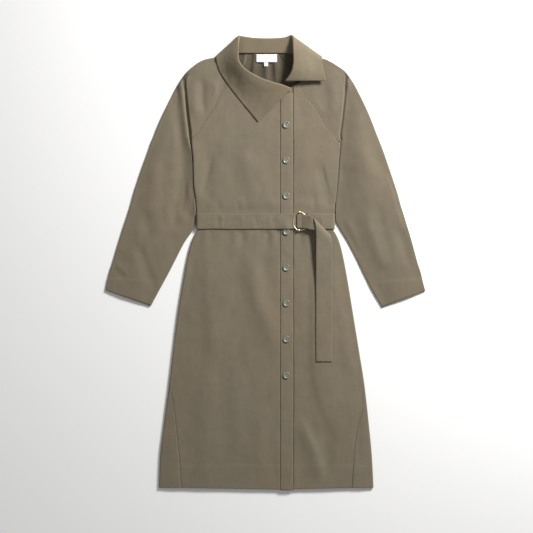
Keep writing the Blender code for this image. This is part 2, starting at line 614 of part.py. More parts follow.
def placket_sections():
    ys = [PLACKET_TOP_Y, 430, 400, 372, 345, 315, 290, 262, 235, 205, 178, 152, 134, 112, 88, 66, 35]
    ys += [-5, -50, -100, -150, -200, -250, -290, -325, -375, -420, -470, -520, -565, HEM_MID_Y - 2]
    xs = np.linspace(PLACKET_LEFT_X + SEAM, PLACKET_RIGHT_X, 3)
    return [[np.array([x, y, placket_z(x, y)]) for x in xs] for y in ys]


def belt_z(x, y):
    """Belt over the front, lifted by the placket and the button under its lower edge."""
    over_placket = ease((x - PLACKET_LEFT_X + 12) / 10) * ease((PLACKET_RIGHT_X + 12 - x) / 10)
    on_button = math.exp(-((x - BUTTON_X) / 13) ** 2) * ease((BELT_TOP_Y - 8 - y) / 26)
    return AIR + 0.6 + CLOTH / 2 + SEAM + DOUBLED / 2 + 0.3 + 1.1 * over_placket + 2.9 * on_button


def belt_sections():
    """The belt round the waist, from inside the ring out to the wearer's right and round."""
    path = []            # (x, z), with no z where it lies on the front
    for x in (108, 98, 88, 78, 70, 62, 54, 46, 36, 20, -10, -45, -80, -115, -150, -172):
        path.append((x, None))
    centre = (belt_z(-180, 110) + DOUBLED / 2) / 2
    reach = belt_z(-180, 110) - centre
    for j in range(7):
        angle = math.pi * (0.5 - j / 6)
        path.append((-BELT_TURN_X - BELT_TURN * math.cos(angle), centre + reach * math.sin(angle)))
    for x in (-172, -110, -40, 40, 110, 172):
        path.append((x, DOUBLED / 2))
    for j in range(7):
        angle = math.pi * (-0.5 + j / 6)
        path.append((BELT_TURN_X + BELT_TURN * math.cos(angle), centre + reach * math.sin(angle)))
    for x in (172, 160, 148, 136, 124, 112):
        path.append((x, None))
    sections = []
    for x, z in path:
        row = []
        for j in range(3):
            y = mix(BELT_TOP_Y, BELT_BOTTOM_Y, j / 2)
            row.append(np.array([x, y, belt_z(x, y) if z is None else z]))
        sections.append(row)
    return sections


Tail = namedtuple("Tail", "upper_x upper_y upper_z lower_x lower_y lower_z")
TAIL = (                 # the strip from inside the ring, folded down over itself
    Tail(98, 129, 12.9, 97, 93, 12.9),
    Tail(104, 128.6, 15.9, 103, 92.6, 16.2),
    Tail(110, 127.6, 18.7, 109, 91.8, 18.8),
    Tail(118, 125, 18.7, 124, 88, 18.6),
    Tail(124, 121.4, 17.3, 136, 85.4, 16.0),
    Tail(129, 118.4, 14.6, 150, 81.4, 13.7),
    Tail(134.2, 115.0, 14.2, 170.5, 71.2, 13.5),
    Tail(137.4, 112.9, 16.6, 178.6, 65.8, 15.8),
    Tail(137.1, 110.8, 19.0, 178.5, 63.4, 18.1),
    Tail(136.4, 105.6, 19.8, 178.7, 57, 18.6),
    Tail(136, 98, 19.8, 179, 52, 18.4),
    Tail(136, 84, 18.6, 179.5, 45, 16.6),
    Tail(136, 62, 14.4, 180, 34, 13.0),
    Tail(136, 30, 9.9, 180, 18, 9.7),
    Tail(136, -10, 9.1, 180, -12, 9.1),
    Tail(136, -90, 8.95, 180, -90, 8.95),
    Tail(136, -180, 8.95, 180, -180, 8.95),
    Tail(136, -268, 8.95, 180, -268, 8.95),
)


def tail_sections():
    sections = []
    for row in TAIL:
        upper = np.array([row.upper_x, row.upper_y, row.upper_z])
        lower = np.array([row.lower_x, row.lower_y, row.lower_z])
        sections.append([mix(upper, lower, j / 3) for j in range(4)])
    return sections


def ring_arc(name, start, end, level, material, around=16, about=8):
    """Bent round wire of the buckle, from a start to an end angle in degrees."""
    mesh = bpy.data.meshes.new(name)
    bm = bmesh.new()
    middle = (RING_DIAMETER - RING_WIRE) / 2
    loops = []
    for i in range(around + 1):
        a = math.radians(mix(start, end, i / around))
        loop = []
        for j in range(about):
            b = 2 * math.pi * j / about
            radius = middle + RING_WIRE / 2 * math.cos(b)
            place = (RING_X + radius * math.cos(a), RING_Y + radius * math.sin(a),
                     level + RING_WIRE / 2 * math.sin(b))
            loop.append(bm.verts.new([value * MM for value in place]))
        loops.append(loop)
    for near, far in zip(loops, loops[1:]):
        for j in range(about):
            k = (j + 1) % about
            bm.faces.new((near[j], far[j], far[k], near[k]))
    bm.faces.new(loops[0])
    bm.faces.new(loops[-1])
    bmesh.ops.recalc_face_normals(bm, faces=bm.faces)
    bm.to_mesh(mesh)
    bm.free()
    return add_object(name, mesh, material)


def turned(name, profile, place, material, segments=12):
    """Solid turned about Z through (radius, height) points, from the axis out and back."""
    mesh = bpy.data.meshes.new(name)
    bm = bmesh.new()
    bottom = bm.verts.new((0, 0, profile[0][1] * MM))
    top = bm.verts.new((0, 0, profile[-1][1] * MM))
    loops = []
    for radius, height in profile[1:-1]:
        loop = []
        for i in range(segments):
            a = 2 * math.pi * i / segments
            loop.append(bm.verts.new((radius * MM * math.cos(a), radius * MM * math.sin(a), height * MM)))
        loops.append(loop)
    for i in range(segments):
        k = (i + 1) % segments
        bm.faces.new((bottom, loops[0][k], loops[0][i]))
        bm.faces.new((top, loops[-1][i], loops[-1][k]))
        for lower, upper in zip(loops, loops[1:]):
            bm.faces.new((lower[i], lower[k], upper[k], upper[i]))
    bmesh.ops.recalc_face_normals(bm, faces=bm.faces)
    bm.to_mesh(mesh)
    bm.free()
    piece = add_object(name, mesh, material)
    piece.location = [value * MM for value in place]
    return piece


def button(number, y, material):
    half, thick = BUTTON_DIAMETER / 2, BUTTON_THICK
    profile = [(0, 0), (half - 1.6, 0), (half, 1.2), (half - 0.4, thick), (half - 1.8, thick),
               (half - 3.0, thick - 0.9), (0, thick - 0.9)]
    reach = (-half, -half / 2, 0, half / 2, half)
    floor = max(placket_z(BUTTON_X + dx, y + dy) for dx in reach for dy in reach) + DOUBLED / 2
    return turned(f"button_{number}", profile, (BUTTON_X, y, floor + SEAM), material)


def bead(number, angle, level, material):
    """Round bead that joins the two arcs of the buckle."""
    radius = BEAD_DIAMETER / 2
    profile = [(0, -radius)]
    for i in range(1, 6):
        a = math.pi * (i / 6 - 0.5)
        profile.append((radius * math.cos(a), radius * math.sin(a)))
    profile.append((0, radius))
    reach = (RING_DIAMETER - RING_WIRE) / 2
    place = (RING_X + reach * math.cos(math.radians(angle)),
             RING_Y + reach * math.sin(math.radians(angle)), level)
    return turned(f"buckle_bead_{number}", profile, place, material, segments=10)


def label_sections(left, right, top, bottom, columns, rows):
    sections = []
    for y in np.linspace(top, bottom, rows):
        line = []
        for x in np.linspace(left, right, columns):
            line.append(np.array([x, y, LABEL_LEVEL]))
        sections.append(line)
    return sections


def build():
    for piece in list(bpy.data.objects):
        bpy.data.objects.remove(piece, do_unlink=True)
    cloth = make_material("gabardine", (0.235, 0.195, 0.135), 0.85)
    brass = make_material("brass", (0.72, 0.56, 0.30), 0.28, 1.0)
    pearl = make_material("pearl_button", (0.45, 0.47, 0.40), 0.3)
    tape = make_material("label_tape", (0.85, 0.85, 0.84), 0.8)

    right_front = front_sections(RIGHT, PLACKET_LEFT_X - SEAM / 2, 456.0, -24.0, front_z)
    sheet("front_right", right_front, CLOTH, cloth, guides=(1, 0))
    stops = (PLACKET_RIGHT_X + 18, PLACKET_RIGHT_X + 10, PLACKET_RIGHT_X + 3, 60.0, UNDERLAP_X)
    left_front = front_sections(LEFT, UNDERLAP_X, 462.0, 0.0, underlap_z, stops)
    sheet("front_left", left_front, CLOTH, cloth, guides=(1, 0))
    sheet("back", back_sections(), CLOTH, cloth, guides=(1, 1))
    sheet("sleeve_right", sleeve_sections(RIGHT), CLOTH, cloth)
    sheet("sleeve_left", sleeve_sections(LEFT), CLOTH, cloth)
    sheet("placket", placket_sections(), DOUBLED, cloth)
    sheet("collar", collar_sections(), COLLAR_WALL, cloth)
    sheet("belt", belt_sections(), DOUBLED, cloth)
    sheet("belt_tail", tail_sections(), DOUBLED, cloth)
    level = belt_z(RING_X, RING_Y) + DOUBLED / 2 + SEAM + BEAD_DIAMETER / 2
    gap = math.degrees((BEAD_DIAMETER / 2 + SEAM) / (RING_DIAMETER / 2))
    ring_arc("buckle_arc_1", BEAD_ANGLES[0] + gap, BEAD_ANGLES[1] - gap, level, brass)
    ring_arc("buckle_arc_2", BEAD_ANGLES[1] + gap, BEAD_ANGLES[0] + 360 - gap, level, brass)
    for number, angle in enumerate(BEAD_ANGLES, 1):
        bead(number, angle, level, brass)
    for number, y in enumerate(BUTTON_YS, 1):
        button(number, y, pearl)
    sheet("neck_label", label_sections(-25, 31, 562.5, 541, 4, 3), 0.8, tape)
    sheet("size_tab", label_sections(-4, 7, 540, 530, 2, 2), 0.8, tape)


build()
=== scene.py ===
"""Visual model of a belted shirt dress laid flat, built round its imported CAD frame.

Tables and surfaces are in millimetres, in the frame's axes: +X towards the wearer's left,
+Y towards the collar, +Z up from the floor. Each cloth piece is a grid of points on the
middle of its wall, made into a thin closed shell.
"""
import math
from collections import namedtuple
from functools import reduce
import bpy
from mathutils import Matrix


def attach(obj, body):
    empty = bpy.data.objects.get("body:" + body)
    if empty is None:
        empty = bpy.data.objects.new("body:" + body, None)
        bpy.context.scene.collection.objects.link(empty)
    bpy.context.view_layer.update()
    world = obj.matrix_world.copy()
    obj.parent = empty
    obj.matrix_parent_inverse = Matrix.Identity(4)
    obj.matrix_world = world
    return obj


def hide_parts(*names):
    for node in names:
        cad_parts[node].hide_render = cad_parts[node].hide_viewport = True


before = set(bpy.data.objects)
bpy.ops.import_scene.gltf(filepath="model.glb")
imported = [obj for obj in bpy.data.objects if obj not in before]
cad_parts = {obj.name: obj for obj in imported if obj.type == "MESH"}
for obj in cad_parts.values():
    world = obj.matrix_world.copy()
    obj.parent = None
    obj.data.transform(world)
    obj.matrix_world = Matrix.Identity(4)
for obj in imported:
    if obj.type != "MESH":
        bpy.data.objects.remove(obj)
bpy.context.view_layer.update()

from types import SimpleNamespace

import bpy
import numpy as np
from mathutils import Vector

MM = 0.001
CLOTH, DOUBLED, PLACKET_WALL, COLLAR_WALL, TAPE_WALL = 1.0, 1.8, 1.9, 1.4, 0.5
HALF = 0.6               # level of the lowest layer's middle
GAP = 0.12               # groove at a sewn seam
RIGHT, LEFT = -1, 1      # the wearer's sides, as signs of X
SIDE_NAMES = {RIGHT: "right", LEFT: "left"}
AIR = 6.6                # plain level of the front
HEM_SIDE_Y, HEM_MID_Y, HEM_DEPTH = -609.0, -613.6, 60.0
UNDERARM_Y, WAIST_Y = 350.0, 142.0
PLACKET_LEFT_X, PLACKET_RIGHT_X, PLACKET_TOP_Y = 40.0, 74.0, 457.0
UNDERLAP_X, UNDERLAP_DROP = 45.0, 2.1
BELT_TOP_Y, BELT_BOTTOM_Y = 132.0, 90.0
BELT_BACK_RISE = 2.4
BELT_TURN_X, BELT_TURN = 182.0, 4.6
BUTTON_X = 56.5
BUTTON_YS = (372, 276, 180, 83, -14, -110, -207, -305)
RING_WIRE = 1.2          # radius
RING = ((91.3, 135.8), (83.6, 131.8), (77.6, 123.6), (75.0, 113), (75.6, 102), (80.4, 92.8), (89.4, 87.0),
        (98, 87.4), (105, 89.8), (110.5, 95.5), (113.4, 104), (114, 112), (111.6, 121), (105.4, 128.6),
        (101.2, 132.8), (96.6, 135.2), (94.0, 136.0))
RING_BEADS = ((91.3, 135.9), (89.4, 86.9))
SHOULDER_NOSE, UNDERARM_NOSE = 1.6, 1.4   # radius of a sleeve's fold, outside and inside
LANDING = 8.5            # length over which the sides' underlayer comes down to the floor

# How far out the body reaches on each side, and the levels of its side fold's foot and top
Body = namedtuple("Body", "y right left low top")
BODY = [Body(*row) for row in (
    (350, 200, 202, 5.2, 9.2), (330, 200, 202, 5.2, 9.2), (276, 196, 199, 5.2, 9),
    (212, 194.5, 194, 5.2, 8.8), (168, 188.5, 190, 5.2, 8.4), (155, 187.5, 188.5, 5.2, 8.2),
    (142, 186.4, 187, 3, 7.4), (136, 186.2, 186.8, 3, 6.8), (131.5, 184.3, 184.7, 3, 6.7),
    (112, 184, 184.4, 3, 6.6), (87, 184.3, 184.7, 3, 6.6), (76, 190, 191, 0.6, 6.2),
    (55, 199.5, 200, 0.6, 6), (12, 211, 211, 0.6, 6), (-53, 223, 223, 0.6, 6), (-139, 237, 237, 0.6, 6),
    (-226, 248, 251, 0.6, 6), (-334, 261, 268, 0.6, 6), (-442, 275, 280, 0.6, 5.8),
    (-528, 285, 288, 0.6, 5.6), (-620, 288.5, 292.5, 0.6, 5.4),
)]
# The side seam, measured from the outermost point: on the front above 0, underneath below 0
Side = namedtuple("Side", "y seam")
SIDES = {
    RIGHT: [Side(*row) for row in (
        (339, 6), (337, 3), (333, 0), (325, -3), (317, -5.5), (301, -11.5), (286, -26), (272, -40),
        (259, -47.5), (233, -46.5), (205, -37), (181, -24), (158, -11), (140, -8), (84, -8), (-260, -8),
        (-290, -5.5), (-310, -2), (-330, 2.5), (-350, 8), (-377, 17), (-452, 36), (-520, 51), (-620, 62),
    )],
    LEFT: [Side(*row) for row in (
        (329, 6), (327, 3), (323, 0), (316, -3), (309, -5.5), (294, -11), (286, -19), (272, -35),
        (259, -46), (233, -44.5), (205, -35), (181, -24), (158, -12), (140, -8), (84, -8), (-260, -8),
        (-290, -5.5), (-310, -2), (-330, 2.5), (-350, 7), (-400, 15), (-452, 34), (-520, 49), (-620, 61),
    )],
}
# A sleeve's outer edge, its ends on the front's and on the back's seam, the width of the fold's
# slope, how far it starts at the body's level, its bulge, and how far its inner edge curls under
Sleeve = namedtuple("Sleeve", "out_x out_y seam_x seam_y back_x back_y fold lift crown curl")


def closed(out_x, out_y, seam_x, seam_y, fold, crown):
    """Row below the underarm, where the upper and the lower layer end on one line."""
    return Sleeve(out_x, out_y, seam_x, seam_y, seam_x, seam_y, fold, 0, crown, 1)


SLEEVES = {
    RIGHT: [Sleeve(*row) for row in (
        (98, 560, 82, 552, 34, 564, 8, 0, 0, 0),
        (115, 557, 88, 540, 42, 552, 11, 0, 0, 0),
        (132, 554.5, 92, 530, 49, 543, 11, 0, 0, 0),
        (150, 552, 93.5, 520, 56, 534, 11, 0, 0, 0),
        (166, 548, 99, 501, 64, 522, 11, 0, 0, 0),
        (181, 541, 107, 480, 73, 508, 11, 0, 0, 0),
        (197, 529, 117, 460, 83, 491, 11, 0, 0, 0),
        (216, 511, 126, 440, 93, 465, 12, 0.35, 0.2, 0),
        (239, 476, 141, 413, 107, 430, 31, 0.8, 0.6, 0),
        (261, 433, 157, 388, 120, 393, 56, 1, 1, 0),
        (282, 390, 176, 358, 134, 349, 81, 1, 1.5, 0),
        (296, 357, 192, 339, 138, 312, 96, 1, 1.8, 0),
        (302, 341, 192, 331, 140, 298, 101, 0, 2, 0),
        (309, 325, 178, 303, 144, 282, 112, 0, 2.2, 0),
        (320, 293, 160, 259, 147.6, 259, 127, 0, 2.4, 0.35),
        (328, 271, 159, 247, 155, 247, 134, 0, 2.5, 0.5),
    )] + [closed(*row) for row in (
        (336, 249, 159, 233, 140, 2.6), (347, 216, 167, 207, 152, 2.8), (357, 185, 177, 181, 163, 2.8),
        (366, 151, 187.9, 157, 167, 2.8), (371, 136, 186.7, 143, 171, 2.6),
        (376, 120, 188, 131, 174, 2.4), (383, 100, 188, 107, 179, 2.4), (389, 81, 194.6, 90, 183, 2.8),
        (401, 42, 219, 54, 170, 2.8), (413, 1, 241, 12, 160, 2.6), (422, -26, 262, -29, 148, 2.4),
        (428, -52, 286, -73, 132, 2.2), (432.5, -76, 310.5, -118.5, 117, 2),
    )],
    LEFT: [Sleeve(*row) for row in (
        (100, 560, 84, 551, 35, 564, 8, 0, 0, 0),
        (122, 555.5, 94, 530, 44, 550, 11, 0, 0, 0),
        (142, 553, 96, 507, 54, 536, 11, 0, 0, 0),
        (160, 550, 93, 487, 66, 522, 11, 0, 0, 0),
        (178, 542, 99, 467, 77, 505, 11, 0, 0, 0),
        (194, 532, 111, 448, 86, 489, 11, 0, 0, 0),
        (205, 525, 124, 432, 91, 475, 12, 0.15, 0.1, 0),
        (215, 517, 135, 418, 96, 460, 12, 0.35, 0.2, 0),
        (237, 487, 147, 399, 108, 430, 27, 0.8, 0.6, 0),
        (260, 444, 159, 377, 122, 393, 53, 1, 1, 0),
        (280, 401, 175, 356, 135, 349, 78, 1, 3, 0),
        (295, 363, 193, 330, 140, 312, 97, 1, 3.6, 0),
        (301, 347, 194, 321, 143, 298, 103, 0, 3.8, 0),
        (308, 330, 178, 298, 147, 282, 111, 0, 4, 0),
        (322, 293, 163, 259, 151, 259, 129, 0, 4.4, 0.35),
        (329.5, 271, 162, 247, 158, 247, 135, 0, 4.8, 0.5),
    )] + [closed(*row) for row in (
        (337, 249, 162, 233, 140, 4.4), (348, 216, 169, 207, 152, 4.8), (358, 185, 178, 181, 163, 4.8),
        (367, 151, 188.8, 157, 167, 4.6), (372, 136, 187.2, 143, 171, 4.6),
        (377, 120, 188.1, 131, 174, 4.6), (383, 100, 188.3, 115, 178, 4.6), (389, 81, 200, 92, 180, 4.8),
        (400, 42, 223, 54, 166, 4.8), (411, 1, 245, 12, 154, 4.4), (420, -27, 265, -30, 143, 2.4),
        (426, -53, 288, -75, 128, 2.2), (432.5, -77, 315.5, -121.5, 113, 2),
    )],
}
CORNER_ROW, NOTCH_ROW, UNDERARM_ROW = 3, 11, 14
# The collar's seam, the top of its roll, the way the roll faces in degrees, and its edge
Neck = namedtuple("Neck", "base_x base_y base_z roll_x roll_y roll_z turn edge_x edge_y edge_z")
COLLAR = [Neck(*row) for row in (
    (68, 461, 10.5, 69, 470, 14.5, 0, -20, 379, 9.6),
    (42, 460, 9.8, 46, 479, 17, 0, -33, 395, 9.9),
    (18, 462, 9.2, 20, 486, 20, 0, -46, 411, 10),
    (-9, 465, 8.9, -8, 495, 23, 0, -63, 431, 10.1),
    (-36, 474, 8.8, -33, 507, 26, 0, -80, 453, 10.2),
    (-59, 487, 8.8, -51, 518, 28, 0, -97, 475, 10.4),
    (-79, 504, 8.8, -64, 531, 29, 0, -112, 497, 10.6),
    (-91, 525, 8.8, -72, 547, 28, 0, -124, 517, 10.8),
    (-89, 545, 8.8, -73, 568, 24, 0, -131, 537, 10.8),
    (-84, 556, 8.8, -73, 592, 17.5, 20, -133, 550, 10),
    (-75, 563, 8.6, -72, 613, 10, 90, -133.5, 558, 5.5),
    (-76.5, 564.4, 4.6, -73.6, 613.2, 4.2, 164, -130, 557, 0.7),
    (-58, 565.2, 7, -57, 610.4, 4.6, 180, -110, 553, 0.7),
    (-28, 565.2, 6.7, -28, 606.6, 4.2, 180, -60, 544, 0.7),
    (0, 565.2, 6.7, 0, 605.6, 4.2, 180, 0, 541, 0.7),
    (28, 565.2, 6.7, 28, 606.2, 4.2, 180, 66, 544, 0.7),
    (54, 565.2, 6.9, 54, 609, 4.4, 180, 124, 552, 0.7),
    (69, 565, 7.2, 67, 614, 5.6, 155, 146, 556, 0.7),
    (76, 563, 8.6, 73, 612.5, 12.5, 90, 153, 556, 5.5),
    (84, 556, 8.8, 74, 592, 21.5, 20, 153.5, 549, 11),
    (89, 545, 8.8, 74.5, 568, 26.5, 0, 153.5, 540, 13),
    (93, 527, 8.8, 75, 545, 28.5, 0, 155, 527, 15),
    (94, 508, 8.8, 72, 522, 29, 0, 158, 514, 16.5),
    (88, 493, 9, 63, 502, 26, 0, 161, 502, 17.5),
    (71, 487, 9.4, 52, 488, 22, 0, 163, 490, 17.5),
)]
ROLL_RADIUS = 3.2
# The belt's free end, from inside the ring, over its fold and down the skirt
Tail = namedtuple("Tail", "upper_x upper_y upper_z lower_x lower_y lower_z")
TAIL = [Tail(*row) for row in (
    (84, 129, 11.6, 84, 92.8, 11.6),
    (87, 129.2, 12.9, 87, 92.6, 12.9),
    (90, 129.4, 12.5, 90, 92.5, 12.5),
    (93.5, 129.5, 13.4, 93.5, 92.5, 13.4),
    (97, 129.3, 13.1, 97, 92.3, 13.1),
    (102, 129, 15, 102, 92, 15),
    (108, 128, 16.8, 108, 91.6, 16.8),
    (116, 126.8, 19.4, 120, 88.6, 19.4),
    (120, 125.6, 20.9, 134, 86.6, 20.4),
    (123, 124.4, 21.2, 148, 83.8, 18.6),
    (126.4, 122.4, 21, 168.5, 78.6, 16),
    (128.6, 121, 21.6, 176.2, 71.6, 16.4),
    (129.6, 118.6, 22.6, 177.2, 66, 17.6),
    (131.4, 112, 24.4, 178.2, 58, 18),
    (134, 102, 24.6, 179, 51, 17.8),
    (135.6, 86, 23.2, 179.5, 42, 17),
    (136, 62, 20.4, 180, 30, 16.4),
    (136, 30, 18.6, 180, 10, 15.6),
    (136, -10, 17, 180, -20, 14.8),
    (136, -60, 15.6, 180, -64, 14),
    (136, -130, 14.4, 180, -130, 13.2),
    (136, -268, 12.6, 180, -268, 12),
)]
TAIL_FREE_ROW = 17


# ---- numbers and curves

def ease(t):
    """Smooth step from 0 to 1."""
    t = np.clip(t, 0.0, 1.0)
    return t * t * (3.0 - 2.0 * t)


def between(t, low, low_length, high, high_length):
    """Eases up from 0 at low over a length, and down to 0 at high over another."""
    return ease((t - low) / low_length) * ease((high - t) / high_length)


def bell(t, power=2):
    """1 where t is 0, falling off on both sides over about 1."""
    return np.exp(-np.abs(t) ** power)


def mix(a, b, t):
    return a + (b - a) * t


def join(*axes):
    """Points from their coordinates."""
    return np.stack(axes, axis=-1)


def curve_through(xs, ys):
    """Smooth function through points, without overshoot."""
    xs, ys = np.array(xs, float), np.array(ys, float)
    order = np.argsort(xs)
    xs, ys = xs[order], ys[order]
    steps = np.diff(ys) / np.diff(xs)
    slopes = np.zeros(len(xs))
    slopes[0], slopes[-1] = steps[0], steps[-1]
    for i in range(1, len(xs) - 1):
        if steps[i - 1] * steps[i] > 0:
            slopes[i] = 2.0 * steps[i - 1] * steps[i] / (steps[i - 1] + steps[i])

    def value(x):
        x = np.asarray(x, float)
        i = np.clip(np.searchsorted(xs, x) - 1, 0, len(xs) - 2)
        h = xs[i + 1] - xs[i]
        t = np.clip((x - xs[i]) / h, 0.0, 1.0)
        a = ys[i] * (1 + 2 * t) * (1 - t) ** 2 + slopes[i] * h * t * (1 - t) ** 2
        b = ys[i + 1] * t * t * (3 - 2 * t) + slopes[i + 1] * h * t * t * (t - 1)
        return a + b
    return value


def by_y(rows, field):
    """A table's column as a smooth function of its y."""
    return curve_through([row.y for row in rows], [getattr(row, field) for row in rows])


def dense(rows, places):
    """Table rows at fractional row numbers, as a dictionary of columns."""
    return {name: curve_through(range(len(rows)), [getattr(row, name) for row in rows])(places)
            for name in rows[0]._fields}


def lengths_along(points):
    """Length walked along a line up to each of its points."""
    return np.concatenate([[0.0], np.cumsum(np.linalg.norm(np.diff(points, axis=0), axis=1))])


def row_places(points, pitch, first=0, last=None):
    """Fractional row numbers a pitch apart along a table's line of points."""
    walked = lengths_along(np.array(points, float))
    last = len(points) - 1 if last is None else last
    count = max(2, int(round((walked[last] - walked[first]) / pitch)) + 1)
    return np.interp(np.linspace(walked[first], walked[last], count), walked, np.arange(len(points)))


def unit(vectors):
    return vectors / np.maximum(np.linalg.norm(vectors, axis=-1, keepdims=True), 1e-9)


def directions(points):
    """Unit directions along the first axis of a grid of points."""
    return unit(np.gradient(points, axis=0))


def surface_ways(grid):
    """Unit directions down and across a grid of points, and its normals."""
    down, across = directions(grid), directions(grid.transpose(1, 0, 2)).transpose(1, 0, 2)
    return down, across, unit(np.cross(down, across))


NOISE_CELLS = 64         # after which a ripple repeats


def ripple(x, y, seed):
    """Smooth gradient noise, about -1 to 1, with cells of size 1."""
    angles = np.random.default_rng(seed).uniform(0, 2 * math.pi, (NOISE_CELLS, NOISE_CELLS))
    gx, gy = np.cos(angles), np.sin(angles)
    x0, y0 = np.floor(x).astype(int), np.floor(y).astype(int)
    fx, fy = x - x0, y - y0
    u, v = fx ** 3 * (fx * (fx * 6 - 15) + 10), fy ** 3 * (fy * (fy * 6 - 15) + 10)

    def corner(a, b):
        i, j = (x0 + a) % NOISE_CELLS, (y0 + b) % NOISE_CELLS
        return gx[j, i] * (fx - a) + gy[j, i] * (fy - b)
    return 1.6 * mix(mix(corner(0, 0), corner(1, 0), u), mix(corner(0, 1), corner(1, 1), u), v)


Wave = namedtuple("Wave", "height width length seed shift_x shift_y", defaults=(0.0, 0.0))


def waves(table, x, y):
    """Sum of ripples of given heights and sizes."""
    return sum(wave.height * ripple(x / wave.width + wave.shift_x, y / wave.length + wave.shift_y, wave.seed)
               for wave in table)


# ---- creases

CREASE_REACH = 2.6       # how far to each side a crease shows, in widths
CREASE_END = 0.32        # share of its length over which it rises or fades


def spline(points, per_span=7):
    """Points of a smooth line through a few given ones."""
    points = np.array(points, float)
    if len(points) == 2:
        return points
    spans = len(points) - 1
    fine = np.linspace(0, spans, per_span * spans + 1)
    return join(*[curve_through(range(spans + 1), values)(fine) for values in points.T])


def relief(creases, x, y):
    """Height of a set of soft ridges (above 0) and troughs (below 0).

    A crease is (height, width to the left of its way, width to the right, points...)."""
    x, y = np.broadcast_arrays(np.asarray(x, float), np.asarray(y, float))
    total = np.zeros(x.shape)
    for height, left, right, *points in creases:
        line = spline(points)
        reach = CREASE_REACH * max(left, right)
        low, high = line.min(axis=0) - reach, line.max(axis=0) + reach
        near = (x > low[0]) & (x < high[0]) & (y > low[1]) & (y < high[1])
        if not near.any():
            continue
        px, py = x[near], y[near]
        best = np.full(px.shape, 1e9)
        walked, signed = np.zeros(px.shape), np.zeros(px.shape)
        length = 0.0
        for (ax, ay), (bx, by) in zip(line[:-1], line[1:]):
            dx, dy = bx - ax, by - ay
            span = math.hypot(dx, dy)
            along = ((px - ax) * dx + (py - ay) * dy) / span
            across = ((py - ay) * dx - (px - ax) * dy) / span
            far = np.hypot(across, along - np.clip(along, 0, span))
            closer = far < best
            best = np.where(closer, far, best)
            signed = np.where(closer, across, signed)
            walked = np.where(closer, length + np.clip(along, 0, span), walked)
            length += span
        width = mix(right, left, ease(0.5 + signed / (0.7 * (left + right))))
        end = CREASE_END * length
        total[near] += height * between(walked, -1, end, length + 1, end) * bell(best / width)
    return total


# ---- meshes

Finish = namedtuple("Finish", "material slot")


def add_object(name, data):
    added = bpy.data.objects.new(name, data)
    bpy.context.scene.collection.objects.link(added)
    return added


def mesh_piece(name, points, faces, finish):
    """Smooth-shaded piece from points in millimetres."""
    mesh = bpy.data.meshes.new(name)
    mesh.from_pydata((np.asarray(points) * MM).tolist(), [], faces)
    mesh.materials.append(finish.material)
    mesh.polygons.foreach_set("use_smooth", [True] * len(mesh.polygons))
    mesh.update()
    piece = add_object(name, mesh)
    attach(piece, "root")
    return piece


def shell(name, grid, wall, finish, rounding=0.35):
    """Closed wall about a grid of middle points, with softly rounded edges."""
    points = np.array(grid, float)
    rows, columns = points.shape[:2]
    down, across, normal = surface_ways(points)
    wall = np.broadcast_to(wall, (rows, columns))[..., None]
    inset = points.copy()
    inset[0] += down[0] * rounding * wall[0]
    inset[-1] -= down[-1] * rounding * wall[-1]
    inset[:, 0] += across[:, 0] * rounding * wall[:, 0]
    inset[:, -1] -= across[:, -1] * rounding * wall[:, -1]
    rim = [(0, j) for j in range(columns)] + [(i, columns - 1) for i in range(1, rows)]
    rim += [(rows - 1, j) for j in range(columns - 2, -1, -1)] + [(i, 0) for i in range(rows - 2, 0, -1)]
    layer = rows * columns
    every = np.concatenate([
        (inset + normal * wall / 2).reshape(-1, 3), (inset - normal * wall / 2).reshape(-1, 3),
        np.array([points[i, j] for i, j in rim])])
    index = np.arange(layer).reshape(rows, columns)
    upper = join(index[:-1, :-1], index[1:, :-1], index[1:, 1:], index[:-1, 1:])
    faces = upper.reshape(-1, 4).tolist()
    faces += (upper[..., ::-1].reshape(-1, 4) + layer).tolist()
    for k, (i, j) in enumerate(rim):
        after = (k + 1) % len(rim)
        here, there = i * columns + j, rim[after][0] * columns + rim[after][1]
        middle, next_middle = 2 * layer + k, 2 * layer + after
        faces.append((here, there, next_middle, middle))
        faces.append((middle, next_middle, there + layer, here + layer))
    return mesh_piece(name, every, faces, finish)


def capped(rings, about, first=0):
    """Faces of a closed form whose points are a tip, rings one after the other, and a tip."""
    lows = [first + 1 + i * about for i in range(rings)]
    faces = []
    for j in range(about):
        k = (j + 1) % about
        faces.append((first, lows[0] + k, lows[0] + j))
        faces += [(low + j, low + k, low + about + k, low + about + j) for low in lows[:-1]]
        faces.append((lows[-1] + j, lows[-1] + k, lows[-1] + about))
    return faces


def square_to(way):
    """Unit vectors square to a direction, one level with the floor and one upward."""
    side = unit(np.cross((0.0, 0.0, 1.0), way))
    return side, np.cross(way, side)


def round_angles(count):
    return np.arange(count) * 2 * math.pi / count


STITCH_RINGS = ((0.18, 0.85), (0.5, 1.0), (0.82, 0.85))    # share of the length, share of the radius
STITCH_SIDES, STITCH_FLATNESS, STITCH_SINK = 6, 1.25, 0.6


def stitches(name, lines, finish, pitch=3.3, length=2.3, radius=0.24):
    """Short threads end to end along lines of (x, y, z) points."""
    points, faces = [], []
    for line in lines:
        line = np.array(line, float)
        walked = lengths_along(line)
        for middle in np.arange(pitch / 2, walked[-1] - pitch / 3, pitch):
            head, foot = (np.array([np.interp(place, walked, values) for values in line.T])
                          for place in (middle - length / 2, middle + length / 2))
            side, up = square_to(unit(foot - head))
            faces += capped(len(STITCH_RINGS), STITCH_SIDES, len(points))
            points.append(head - up * radius * STITCH_SINK)
            for share, swell in STITCH_RINGS:
                for a in round_angles(STITCH_SIDES):
                    outward = side * math.cos(a) * STITCH_FLATNESS + up * math.sin(a)
                    points.append(mix(head, foot, share) + radius * swell * outward)
            points.append(foot - up * radius * STITCH_SINK)
    return mesh_piece(name, points, faces, finish)


